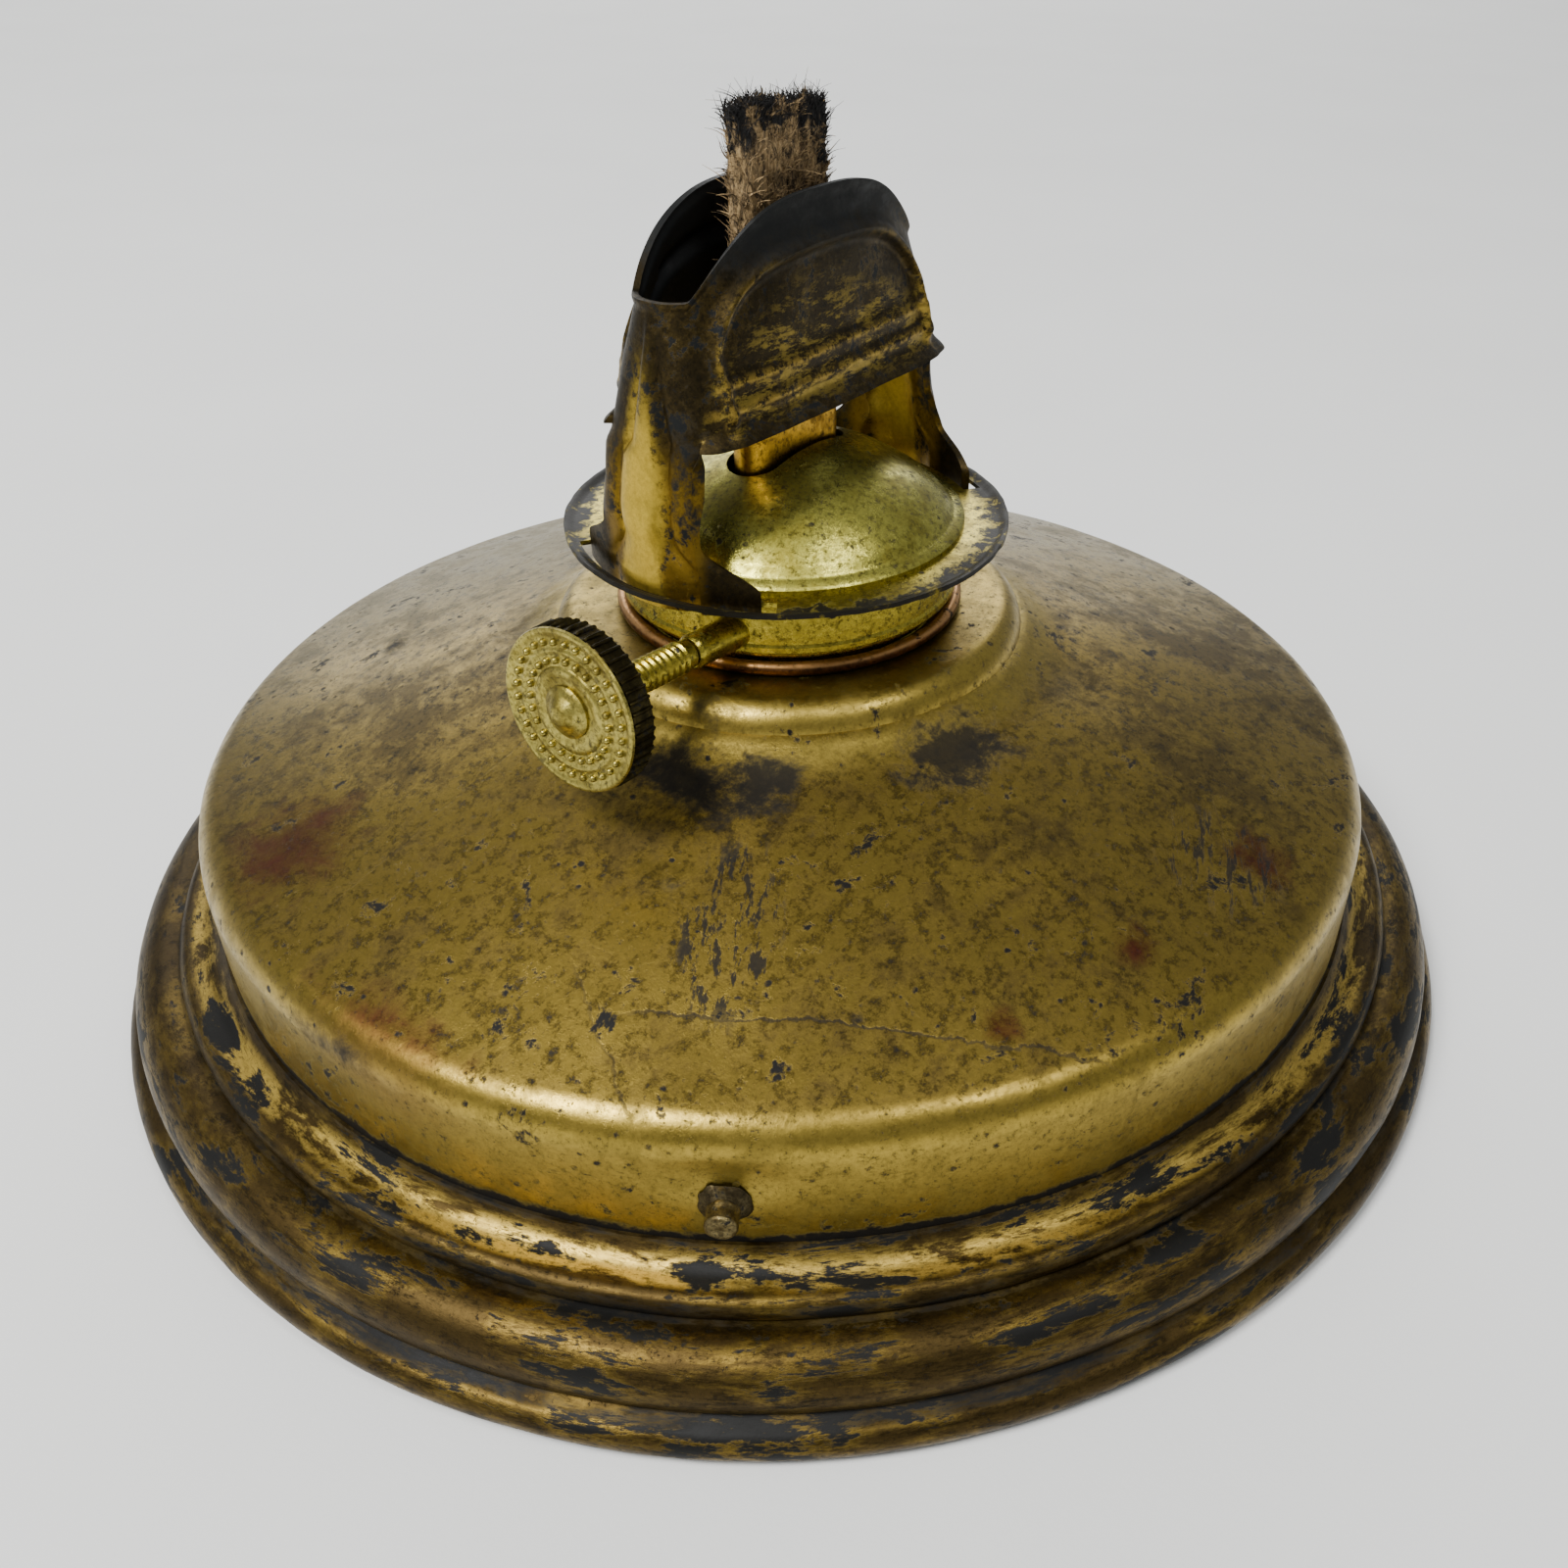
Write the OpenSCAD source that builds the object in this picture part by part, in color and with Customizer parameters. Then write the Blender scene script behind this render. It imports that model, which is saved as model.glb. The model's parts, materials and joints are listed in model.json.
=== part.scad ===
// Flat-wick oil lamp: a wide brass font with a moulded foot and three bayonet pegs, a screw
// collar, and a burner with a gallery plate, draft dome, wick raiser and removable hood.
// Frame: +Z up, origin at the centre of the foot's underside, wick width and spindle along X.

/* [Font] */
// Outer radius of the roll at the bottom of the foot
foot_r = 78.4; // [77.4:0.2:79.4]
// Outer radius of the straight drum wall
drum_r = 65.6; // [65:0.2:66.2]
// Height at which the drum wall turns into the shoulder
wall_top = 24.2; // [23:0.2:25]
// Radius of the rounded shoulder
shoulder_r = 4; // [3:0.5:5]
// Slope of the shallow cone above the shoulder, in degrees
cone_slope = 18; // [17:0.5:18.5]
// Radius at which the cone meets the boss under the collar
boss_r = 28.2; // [27.6:0.2:28.8]
// Thickness of the font's sheet
sheet_t = 0.8; // [0.6:0.1:1]

/* [Bayonet pegs] */
// Number of pegs round the drum
peg_count = 3; // [2:1:3]
// Direction of the first peg, in degrees from +X
peg_turn = 212.5; // [200:0.5:225]
// Radius of a peg
peg_r = 1.5; // [1.3:0.1:1.7]
// How far a peg stands out of the wall
peg_reach = 2.8; // [2.2:0.2:3.4]
// Height of the pegs above the table
peg_z = 19.4; // [18.8:0.2:20]

/* [Collar and burner shell] */
// Inner radius of the collar
collar_bore_r = 16.9; // [16.6:0.1:17]
// Height of the top of the collar's rolled rim
collar_top = 44.5; // [44.3:0.1:44.6]
// Outer radius of the ring under the gallery plate
ring_r = 18.3; // [18.1:0.1:18.6]
// Height of the gallery plate's underside
plate_z = 51.8; // [51.4:0.1:52.2]
// Outer radius of the gallery plate
plate_r = 23.6; // [23.2:0.1:24]
// Height of the crown of the draft dome
dome_top = 60.8; // [60.2:0.2:61]

/* [Wick and its tube] */
// Width of the flat wick
wick_w = 12.7; // [12.3:0.1:12.9]
// Thickness of the wick
wick_t = 2.8; // [2.6:0.1:2.8]
// Height of the top of the wick
wick_top = 94; // [88:1:98]
// Height of the top of the wick tube
tube_top = 77; // [74:1:78]

/* [Wick raiser] */
// Distance of the spindle from the middle of the wick
spindle_y = 6; // [6:0.1:6.2]
// Height of the spindle beside the middle of the wick
spindle_z = 45.9; // [45.7:0.1:46.1]
// Upward slant of the spindle towards the knob, in degrees
spindle_slant = 5; // [4:0.5:6]
// Radius of the spindle
spindle_r = 0.9; // [0.8:0.1:0.9]
// Distance along the spindle to the front of the knob
knob_reach = 39.6; // [38:0.2:41]
// Radius of the knob
knob_r = 7.9; // [7:0.1:8]
// Number of ribs round the knob
knob_ribs = 48; // [36:2:60]

/* [Hood] */
// Half length of the hood along the wick's width, at its lower edge
hood_half_l = 20; // [19.6:0.1:20.2]
// Half width of the hood across the wick, at its lower edge
hood_half_w = 7.4; // [7:0.1:7.8]
// Height of the hood's lower edge between the legs
hood_low = 66.6; // [65.6:0.5:67.6]
// Height of the crest of the hood's mouth
hood_top = 85.5; // [84.5:0.5:86]
// Height of the dips at the two ends of the mouth
mouth_dip = 78.8; // [77.8:0.2:80]
// Half width of a leg
leg_half_w = 5.8; // [5.4:0.1:6.2]
// Thickness of the hood's sheet
hood_t = 0.6; // [0.5:0.1:0.7]

/* [Hidden] */

brass = "goldenrod";
dark_brass = "darkgoldenrod";
pale_brass = "khaki";
solder_grey = "silver";
cotton = "tan";
round_fn = 96;
small_fn = 48;
past = 1;          // how far a cutter runs past the face it cuts
run_gap = 0.08;    // radial clearance where one body turns or slides in another
face_gap = 0.1;    // clearance between faces of bodies that move apart

drum_bottom = 9;
foot_top = 14.3;
foot_bore_r = foot_r - 3.9;
plate_floor_z = 1.2;
collar_wall = 1.1;
collar_bottom = 34.5;
rim_r = 0.75;
collar_r = collar_bore_r + collar_wall;
neck_top = collar_top - 2 * rim_r;
shank_r = peg_r - 0.4;
washer_r = peg_r + 0.8;
washer_t = 0.5;
thimble_r = collar_bore_r - run_gap;
burner_t = 0.6;
thimble_bottom = 36;
thimble_top = collar_top + 0.8;
flange_t = 0.6;
ring_low = thimble_top + face_gap;
floor_z = 38;
gallery_t = 0.5;
slot_r = 21.35;
slot_half = 1;
slot_angle = 35;
dome_r = 18.9;
dome_edge_r = 17;
dome_edge_z = 54.3;
dome_t = 0.5;
tube_wall = 0.4;
tube_half_l = wick_w / 2 + 0.95;
tube_half_w = wick_t / 2 + 0.7;
tube_bottom = 34;
dome_slot_gap = 0.8;
wick_bottom = 19;
sprocket_r = spindle_y - wick_t / 2 - 0.3;
sprocket_root_r = sprocket_r - 0.9;
sprocket_x = 3.5;
sprocket_t = 0.7;
sprocket_teeth = 14;
window_gap = 0.35;
cover_half_l = 6.6;
cover_reach = spindle_y + sprocket_r + 1;
cover_low = 39.4;
cover_high = 51;
cover_t = 0.5;
bush_start = 15.4;
bush_end = 23.5;
bush_r = 1.75;
sleeve_r = 1.45;
sleeve_rib_r = 1.6;
sleeve_ribs = 9;
knob_face_t = 0.5;
knob_band_t = 2.6;
knob_back_t = 0.4;
knob_bore_r = knob_r - 0.9;
rivet_r = 2.5;
rivet_h = 1.3;
foot_flare_top = 56.6;
foot_low = 54;
foot_half_w = 11.6;
tab_bottom = plate_z - 0.8;
mouth_half_l = 18.6;
mouth_half_w = 4.7;
crest_power = 3;
rib_out = 0.9;
rib_share = 0.42;
leg_steps = 12;
panel_steps = 12;
leg_rows = 10;
cap_rows = 8;

// Points of an arc about a centre, from angle a to angle b in degrees
function arc(centre, r, a, b, n = 8) =
  [for (i = [0:n]) centre + r * [cos(a + (b - a) * i / n), sin(a + (b - a) * i / n)]];
function turned_back(points) = [for (i = [len(points) - 1:-1:0]) points[i]];

// Half section of the font's skin, drawn a distance d inside its outer face
shoulder_centre = [drum_r - shoulder_r, wall_top];
shoulder_end = shoulder_centre + shoulder_r * [sin(cone_slope), cos(cone_slope)];
boss_z = shoulder_end[1] + (shoulder_end[0] - boss_r) * tan(cone_slope);
function font_line(d) = concat(
  [[drum_r - d, drum_bottom]],
  arc(shoulder_centre, shoulder_r - d, 0, 90 - cone_slope),
  [[boss_r - 0.2 * d, boss_z - d], [boss_r - 1.6 - 0.4 * d, boss_z + 1 - 0.9 * d]],
  arc([22.6, neck_top - 2.9], 3.2 - d, 10, 85, 6),
  [[collar_r, neck_top - d]]);

// Half section of the foot: bottom roll, groove, large roll, bead and cove
roll_r = 2;
big_roll = [foot_r - 5.8, 6.6];
big_roll_r = 3.9;
bead = [foot_r - 8.8, 11.2];
bead_r = 1.35;
function foot_outside() = concat(
  [[foot_bore_r, 0]],
  arc([foot_r - roll_r, roll_r], roll_r, -90, 72),
  [[big_roll[0] + 3.3, 4.5]],
  arc(big_roll, big_roll_r, -22, 106, 12),
  arc(bead, bead_r, -38, 98),
  [[67.6, 12.9], [66.6, 13.6], [drum_r + 0.35, foot_top], [drum_r, foot_top]]);
function foot_inside() = concat(
  [[foot_bore_r, 3.4]],
  arc(big_roll, big_roll_r - sheet_t, -35, 95, 10),
  [[bead[0] + 0.6, bead[1] - 1.6], [bead[0] - 0.6, bead[1] + 0.4], [67, 12], [drum_r, 13.2]]);

module obround(half_l, half_w, h) {
  linear_extrude(h) union() {
    square([2 * (half_l - half_w), 2 * half_w], center = true);
    for (side = [-1, 1]) translate([side * (half_l - half_w), 0]) circle(half_w, $fn = small_fn);
  }
}

module tube(r_out, r_in, z, h, fn = round_fn) {
  translate([0, 0, z]) linear_extrude(h) difference() {
    circle(r_out, $fn = fn);
    circle(r_in, $fn = fn);
  }
}

// Puts a child drawn along +Z onto the spindle, with z counted outwards from the wick
module on_spindle() {
  translate([0, -spindle_y, spindle_z]) rotate([0, spindle_slant - 90, 0]) children();
}

module at_pegs() {
  for (i = [0:peg_count - 1])
    rotate([0, 0, peg_turn + i * 360 / peg_count]) translate([0, 0, peg_z]) rotate([0, 90, 0])
      children();
}

module font_top() {
  color(brass) difference() {
    rotate_extrude($fn = round_fn)
      polygon(concat(font_line(0), turned_back(font_line(sheet_t))));
    at_pegs() translate([0, 0, drum_r - 5]) cylinder(h = 10, r = shank_r, $fn = small_fn);
  }
}

module base_moulding() {
  color(dark_brass) rotate_extrude($fn = round_fn)
    polygon(concat(foot_outside(), turned_back(foot_inside())));
}

module bottom_plate() {
  color(dark_brass) translate([0, 0, plate_floor_z])
    cylinder(h = sheet_t, r = foot_bore_r, $fn = round_fn);
}

module collar() {
  color(dark_brass) rotate_extrude($fn = round_fn)
    polygon(concat([[collar_bore_r, collar_bottom], [collar_r, collar_bottom],
      [collar_r, neck_top]], arc([collar_r + 0.15, neck_top + rim_r], rim_r, -90, 180),
      [[collar_bore_r, neck_top + rim_r]]));
}

// Studs with a narrow shank through the wall and the washer
module bayonet_pegs() {
  pin_start = drum_r + washer_t + face_gap;
  color(brass) at_pegs() union() {
    translate([0, 0, drum_r - 1.5])
      cylinder(h = pin_start - drum_r + 1.5, r = shank_r, $fn = small_fn);
    translate([0, 0, pin_start])
      cylinder(h = drum_r + peg_reach - pin_start, r = peg_r, $fn = small_fn);
  }
}

module peg_washers() {
  color(solder_grey) at_pegs() tube(washer_r, shank_r, drum_r, washer_t, small_fn);
}

// Threaded part of the burner, drawn as a plain cylinder with a running fit in the collar
module burner_thimble() {
  color(brass) union() {
    tube(thimble_r, thimble_r - burner_t, thimble_bottom, thimble_top - thimble_bottom);
    tube(thimble_r + 0.9, thimble_r - burner_t, thimble_top - flange_t, flange_t);
  }
}

module burner_ring() {
  color(pale_brass) difference() {
    union() {
      tube(ring_r, ring_r - burner_t, ring_low, plate_z - ring_low);
      tube(ring_r, thimble_r - burner_t, ring_low, flange_t);
    }
    on_spindle() translate([0, 0, bush_start]) cylinder(h = 10, r = bush_r, $fn = small_fn);
  }
}

module burner_floor() {
  color(brass) difference() {
    translate([0, 0, floor_z])
      cylinder(h = burner_t, r = thimble_r - burner_t - face_gap, $fn = round_fn);
    translate([0, 0, floor_z - past]) obround(tube_half_l, tube_half_w, burner_t + 2 * past);
    translate([0, 9, floor_z - past]) cylinder(h = burner_t + 2 * past, r = 1, $fn = small_fn);
  }
}

module gallery_plate() {
  color(pale_brass) difference() {
    rotate_extrude($fn = round_fn)
      polygon([[15, plate_z], [plate_r - 1, plate_z], [plate_r, plate_z + 0.4],
        [plate_r, plate_z + 0.4 + gallery_t], [plate_r - 0.5, plate_z + 0.4 + gallery_t],
        [plate_r - 1.2, plate_z + gallery_t], [15, plate_z + gallery_t]]);
    for (side = [0, 180]) rotate([0, 0, side - slot_angle]) translate([0, 0, plate_z - past])
      rotate_extrude(angle = 2 * slot_angle, $fn = round_fn)
        translate([slot_r - slot_half, 0]) square([2 * slot_half, 2 * past + gallery_t]);
  }
}

dome_ball = (pow(dome_edge_r, 2) + pow(dome_top - dome_edge_z, 2)) / (2 * (dome_top - dome_edge_z));
dome_edge_angle = acos(dome_edge_r / dome_ball);
function dome_line(d) = concat(
  [[dome_r - d, plate_z + gallery_t], [dome_r - d, 52.9], [dome_r - 1.1 - d, 53.3]],
  arc([0, dome_top - dome_ball], dome_ball - d, dome_edge_angle, 90, 10));

module draft_dome() {
  color(pale_brass) difference() {
    rotate_extrude($fn = round_fn) polygon(concat(dome_line(0), turned_back(dome_line(dome_t))));
    translate([0, 0, plate_z])
      obround(tube_half_l + dome_slot_gap, tube_half_w + dome_slot_gap, 12);
  }
}

module wick_tube() {
  color(brass) difference() {
    translate([0, 0, tube_bottom]) obround(tube_half_l, tube_half_w, tube_top - tube_bottom);
    translate([0, 0, tube_bottom - past])
      obround(tube_half_l - tube_wall, tube_half_w - tube_wall, tube_top - tube_bottom + 2 * past);
    for (side = [-1, 1])
      translate([side * sprocket_x - sprocket_t / 2 - window_gap - 0.2, -tube_half_w - past,
        spindle_z - 3.2])
        cube([sprocket_t + 2 * window_gap + 0.4, past + tube_half_w - 0.6, 6.4]);
  }
}

// Sheet box that closes in the sprocket wheels, open on the side of the wick tube
module sprocket_cover() {
  color(brass) difference() {
    translate([-cover_half_l, -cover_reach, cover_low])
      cube([2 * cover_half_l, cover_reach - tube_half_w, cover_high - cover_low]);
    translate([-cover_half_l + cover_t, -cover_reach + cover_t, cover_low + cover_t])
      cube([2 * (cover_half_l - cover_t), cover_reach, cover_high - cover_low - 2 * cover_t]);
    on_spindle() translate([0, 0, -12])
      cylinder(h = 24, r = spindle_r + run_gap, $fn = small_fn);
  }
}

module spindle_bush() {
  color(brass) on_spindle()
    tube(bush_r, spindle_r + run_gap, bush_start, bush_end - bush_start, small_fn);
}

module spindle() {
  color(dark_brass) on_spindle() translate([0, 0, -7.6])
    cylinder(h = knob_reach + 7.6, r = spindle_r, $fn = small_fn);
}

module spindle_sleeve() {
  sleeve_start = bush_end + 0.3;
  sleeve_end = knob_reach - knob_face_t - knob_band_t;
  color(brass) on_spindle() union() {
    tube(sleeve_r, spindle_r, sleeve_start, sleeve_end - sleeve_start, small_fn);
    for (i = [1:sleeve_ribs])
      tube(sleeve_rib_r, spindle_r, sleeve_start + i * 0.8, 0.35, small_fn);
  }
}

module sprocket(s) {
  color(pale_brass) on_spindle() translate([0, 0, s - sprocket_t / 2])
    linear_extrude(sprocket_t) difference() {
      polygon([for (i = [0:2 * sprocket_teeth - 1])
        (i % 2 == 0 ? sprocket_r : sprocket_root_r)
          * [cos(i * 180 / sprocket_teeth), sin(i * 180 / sprocket_teeth)]]);
      circle(spindle_r, $fn = small_fn);
    }
}

module sprocket_near() { sprocket(sprocket_x); }
module sprocket_far() { sprocket(-sprocket_x); }

module knob_back() {
  color(pale_brass) on_spindle()
    tube(knob_bore_r, sleeve_r, knob_reach - knob_face_t - knob_band_t, knob_back_t, round_fn);
}

module knob_band() {
  color(dark_brass) on_spindle()
    translate([0, 0, knob_reach - knob_face_t - knob_band_t])
      linear_extrude(knob_band_t) difference() {
        polygon([for (i = [0:2 * knob_ribs - 1])
          (i % 2 == 0 ? knob_r : knob_r - 0.35)
            * [cos(i * 180 / knob_ribs), sin(i * 180 / knob_ribs)]]);
        circle(knob_bore_r, $fn = round_fn);
      }
}

module knob_face() {
  color(pale_brass) on_spindle()
    tube(knob_r - 0.35, spindle_r, knob_reach - knob_face_t, knob_face_t, round_fn);
}

module knob_rivet() {
  dome_ball_r = (rivet_r * rivet_r + rivet_h * rivet_h) / (2 * rivet_h);
  color(brass) on_spindle() translate([0, 0, knob_reach])
    rotate_extrude($fn = small_fn)
      polygon(concat([[0, 0]], arc([0, rivet_h - dome_ball_r], dome_ball_r,
        acos(rivet_r / dome_ball_r), 90, 6)));
}

// Half length, half width and squareness of the hood's section at a height z
function blend(z, low, high) = max(0, min(1, (z - low) / (high - low)));
function hood_a(z) = z < hood_low
  ? slot_r + (hood_half_l - slot_r) * blend(z, foot_flare_top, hood_low)
  : hood_half_l - (hood_half_l - mouth_half_l) * pow(blend(z, hood_low, hood_top), 1.15);
function hood_b(z) = hood_half_w - (hood_half_w - mouth_half_w) * pow(blend(z, hood_low, hood_top), 0.8);
function squareness(z) = 5.6 - 3.1 * blend(z, hood_low, mouth_dip);

// Half width of a leg at a height z: straight, then spread out into its foot
function leg_w(z) = leg_half_w + (foot_half_w - leg_half_w) * (1 - blend(z, foot_low, foot_flare_top));

// Height of the mouth's edge at a distance x from the middle: an arch that dips at both ends
function mouth_z(x) = hood_top
  - (hood_top - mouth_dip) * pow(min(1, abs(x) / mouth_half_l), crest_power);

// Point of the hood's sheet. q runs from -1 to 1 across a leg or along a panel, z is the height
// and d the distance inside the outer face. A leg's point at +X, or a panel's at +Y.
function leg_point(q, z, d) = let(
    a = hood_a(z) - d, b = hood_b(z) - d, n = squareness(z),
    share = leg_half_w / hood_half_w,
    y = z < hood_low ? q * leg_w(z) * (b / (b + d)) : q * share * b,
    square_x = a * pow(1 - pow(min(1, abs(y) / b), n), 1 / n),
    round_x = sqrt(pow(slot_r - d, 2) - y * y),
    rib = rib_out * max(0, 1 - pow(q / rib_share, 2)) * (1 - blend(z, hood_low, mouth_dip - 2)))
  [(z < foot_flare_top ? round_x : square_x + (round_x - square_x)
    * (1 - blend(z, foot_flare_top, foot_flare_top + 4)) * (z < hood_low ? 1 : 0)) + rib, y, z];
function panel_point(q, z, d) = let(
    a = hood_a(z) - d, b = hood_b(z) - d, n = squareness(z),
    share = leg_half_w / hood_half_w,
    x = -q * a * pow(1 - pow(share, n), 1 / n))
  [x, b * pow(1 - pow(abs(x) / a, n), 1 / n), z];

// Columns of the hood's grid: leg at +X, panel at +Y, leg at -X, panel at -Y
hood_columns = [for (side = [1, -1]) each concat(
  [for (i = [0:leg_steps - 1]) ["leg", -1 + 2 * i / leg_steps, side]],
  [for (i = [0:panel_steps - 1]) ["panel", -1 + 2 * i / panel_steps, side]])];
hood_rows = leg_rows + cap_rows;
function column_top(c) = c[0] == "leg" ? mouth_z(leg_point(c[1], mouth_dip, 0)[0])
  : mouth_z(panel_point(c[1], mouth_dip, 0)[0]);
function row_z(c, j) = j < leg_rows
  ? tab_bottom + (hood_low - tab_bottom) * j / leg_rows
  : hood_low + (column_top(c) - hood_low) * (j - leg_rows) / cap_rows;
function hood_point(c, j, d) = let(
    z = row_z(c, j),
    p = c[0] == "leg" ? leg_point(c[1], z, d) : panel_point(c[1], z, d))
  [c[2] * p[0], c[2] * p[1], p[2]];

// Whether the sheet covers the cell between column i and the next, and row j and the next
columns = len(hood_columns);
function next(i) = (i + 1) % columns;
function covered(i, j) = j >= 0 && j < hood_rows && (j >= leg_rows || hood_columns[i][0] == "leg");
function out_at(i, j) = i * (hood_rows + 1) + j;
function in_at(i, j) = columns * (hood_rows + 1) + i * (hood_rows + 1) + j;

module hood() {
  cells = [for (i = [0:columns - 1]) for (j = [0:hood_rows - 1]) if (covered(i, j)) [i, j]];
  color("saddlebrown") polyhedron(
    points = concat(
      [for (c = hood_columns) for (j = [0:hood_rows]) hood_point(c, j, 0)],
      [for (c = hood_columns) for (j = [0:hood_rows]) hood_point(c, j, hood_t)]),
    faces = [for (cell = cells) let(
        i = cell[0], j = cell[1], k = next(i), before = (i + columns - 1) % columns) each concat(
      [[out_at(i, j), out_at(i, j + 1), out_at(k, j + 1)], [out_at(i, j), out_at(k, j + 1), out_at(k, j)]],
      [[in_at(i, j), in_at(k, j + 1), in_at(i, j + 1)], [in_at(i, j), in_at(k, j), in_at(k, j + 1)]],
      covered(i, j + 1) ? [] : [[out_at(i, j + 1), in_at(i, j + 1), in_at(k, j + 1)],
        [out_at(i, j + 1), in_at(k, j + 1), out_at(k, j + 1)]],
      covered(i, j - 1) ? [] : [[out_at(i, j), out_at(k, j), in_at(k, j)],
        [out_at(i, j), in_at(k, j), in_at(i, j)]],
      covered(k, j) ? [] : [[out_at(k, j), out_at(k, j + 1), in_at(k, j + 1)],
        [out_at(k, j), in_at(k, j + 1), in_at(k, j)]],
      covered(before, j) ? [] : [[out_at(i, j), in_at(i, j + 1), out_at(i, j + 1)],
        [out_at(i, j), in_at(i, j), in_at(i, j + 1)]])]);
}

module wick() {
  color(cotton) translate([0, 0, wick_bottom])
    obround(wick_w / 2, wick_t / 2, wick_top - wick_bottom);
}

font_top();
base_moulding();
bottom_plate();
collar();
bayonet_pegs();
peg_washers();
burner_thimble();
burner_ring();
burner_floor();
gallery_plate();
draft_dome();
wick_tube();
sprocket_cover();
spindle_bush();
spindle();
spindle_sleeve();
sprocket_near();
sprocket_far();
knob_back();
knob_band();
knob_face();
knob_rivet();
hood();
wick();
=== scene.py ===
"""Looks of a flat-wick oil lamp: tarnished brass font, moulded foot, burner, hood and cotton wick.

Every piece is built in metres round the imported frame. Profiles are written in millimetres and scaled once.
"""
import json
import math

import bmesh
import bpy
from mathutils import Matrix, Vector, noise


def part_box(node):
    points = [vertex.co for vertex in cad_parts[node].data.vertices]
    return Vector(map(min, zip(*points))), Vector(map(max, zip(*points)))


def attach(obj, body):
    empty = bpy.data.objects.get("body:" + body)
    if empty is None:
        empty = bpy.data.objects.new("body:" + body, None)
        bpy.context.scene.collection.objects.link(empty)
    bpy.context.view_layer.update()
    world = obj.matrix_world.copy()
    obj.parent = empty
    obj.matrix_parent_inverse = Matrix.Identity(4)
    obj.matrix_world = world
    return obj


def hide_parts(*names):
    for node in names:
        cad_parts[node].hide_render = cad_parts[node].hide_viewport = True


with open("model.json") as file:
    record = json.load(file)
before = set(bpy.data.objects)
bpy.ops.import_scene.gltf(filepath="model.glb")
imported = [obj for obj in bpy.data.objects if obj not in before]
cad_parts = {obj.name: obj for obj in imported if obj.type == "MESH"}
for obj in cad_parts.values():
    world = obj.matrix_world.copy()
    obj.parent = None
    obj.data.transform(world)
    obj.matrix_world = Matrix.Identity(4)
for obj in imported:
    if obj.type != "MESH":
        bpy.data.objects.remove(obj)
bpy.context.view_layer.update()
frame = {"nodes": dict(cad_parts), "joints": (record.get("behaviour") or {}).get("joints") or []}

MM = 0.001


# ---- sizes, read from the frame

def half_width(node, axis=0):
    """Half the width of a CAD node, in millimetres."""
    low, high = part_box(node)
    return (high[axis] - low[axis]) / 2 / MM


def top_of(node):
    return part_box(node)[1][2] / MM


def bottom_of(node):
    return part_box(node)[0][2] / MM


FOOT_R = half_width("base_moulding")
DRUM_R = half_width("font_top")
FOOT_TOP = top_of("base_moulding")
COLLAR_TOP = top_of("collar")
COLLAR_BOTTOM = bottom_of("collar")
RING_R = half_width("burner_ring")
RING_LOW = bottom_of("burner_ring")
PLATE_Z = top_of("burner_ring")
PLATE_R = half_width("gallery_plate")
DOME_TOP = top_of("draft_dome")
DOME_R = half_width("draft_dome")
TUBE_HALF_L = half_width("wick_tube")
TUBE_HALF_W = half_width("wick_tube", 1)
WICK_HALF_L = half_width("wick")
WICK_HALF_W = half_width("wick", 1)
WICK_TOP = top_of("wick")
WICK_BOTTOM = bottom_of("wick")
HOOD_TOP = top_of("hood") + 0.2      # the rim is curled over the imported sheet
HOOD_BOTTOM = bottom_of("hood")
THIMBLE_LOW = bottom_of("burner_thimble")
THIMBLE_TOP = top_of("burner_thimble")
THIMBLE_LIP = 0.9
THIMBLE_R = half_width("burner_thimble") - THIMBLE_LIP
RAISER = next(j for j in frame["joints"] if j["name"] == "raiser_turn")
SPINDLE_AXIS = -Vector(RAISER["axis"]).normalized()
SPINDLE_START = Vector(RAISER["pos_m"])


# ---- small mesh tools

def arc(centre, r, a, b, n=12):
    """Points of an arc, with angles in degrees."""
    steps = [math.radians(a + (b - a) * i / n) for i in range(n + 1)]
    return [(centre[0] + r * math.cos(t), centre[1] + r * math.sin(t)) for t in steps]


def dense(points, step):
    """The same outline with extra points, so that no stretch is longer than step."""
    out = []
    for a, b in zip(points, points[1:]):
        n = max(1, math.ceil(math.dist(a, b) / step))
        out += [(a[0] + (b[0] - a[0]) * i / n, a[1] + (b[1] - a[1]) * i / n) for i in range(n)]
    return out + [points[-1]]


def steps_from(r, z, *steps):
    """Outline points written as steps from a radius and a height."""
    return [(r + out, z + up) for out, up in steps]


def smoothstep(x, low, high):
    t = min(1.0, max(0.0, (x - low) / (high - low)))
    return t * t * (3 - 2 * t)


def bell(x, width):
    return math.exp(-(x / width) ** 2)


def linked(name, data):
    """An object in the scene, at the origin."""
    obj = bpy.data.objects.new(name, data)
    bpy.context.scene.collection.objects.link(obj)
    return obj


def smoothed(mesh, sharp=35):
    """Smooth shading, with edges sharper than an angle in degrees kept crisp."""
    mesh.shade_smooth()
    mesh.set_sharp_from_angle(angle=math.radians(sharp))
    return mesh


def baked(obj):
    """An object with its modifiers worked into a plain mesh."""
    bpy.context.view_layer.update()
    mesh = bpy.data.meshes.new_from_object(obj.evaluated_get(bpy.context.evaluated_depsgraph_get()))
    obj.modifiers.clear()
    obj.data = mesh
    return obj


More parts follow.
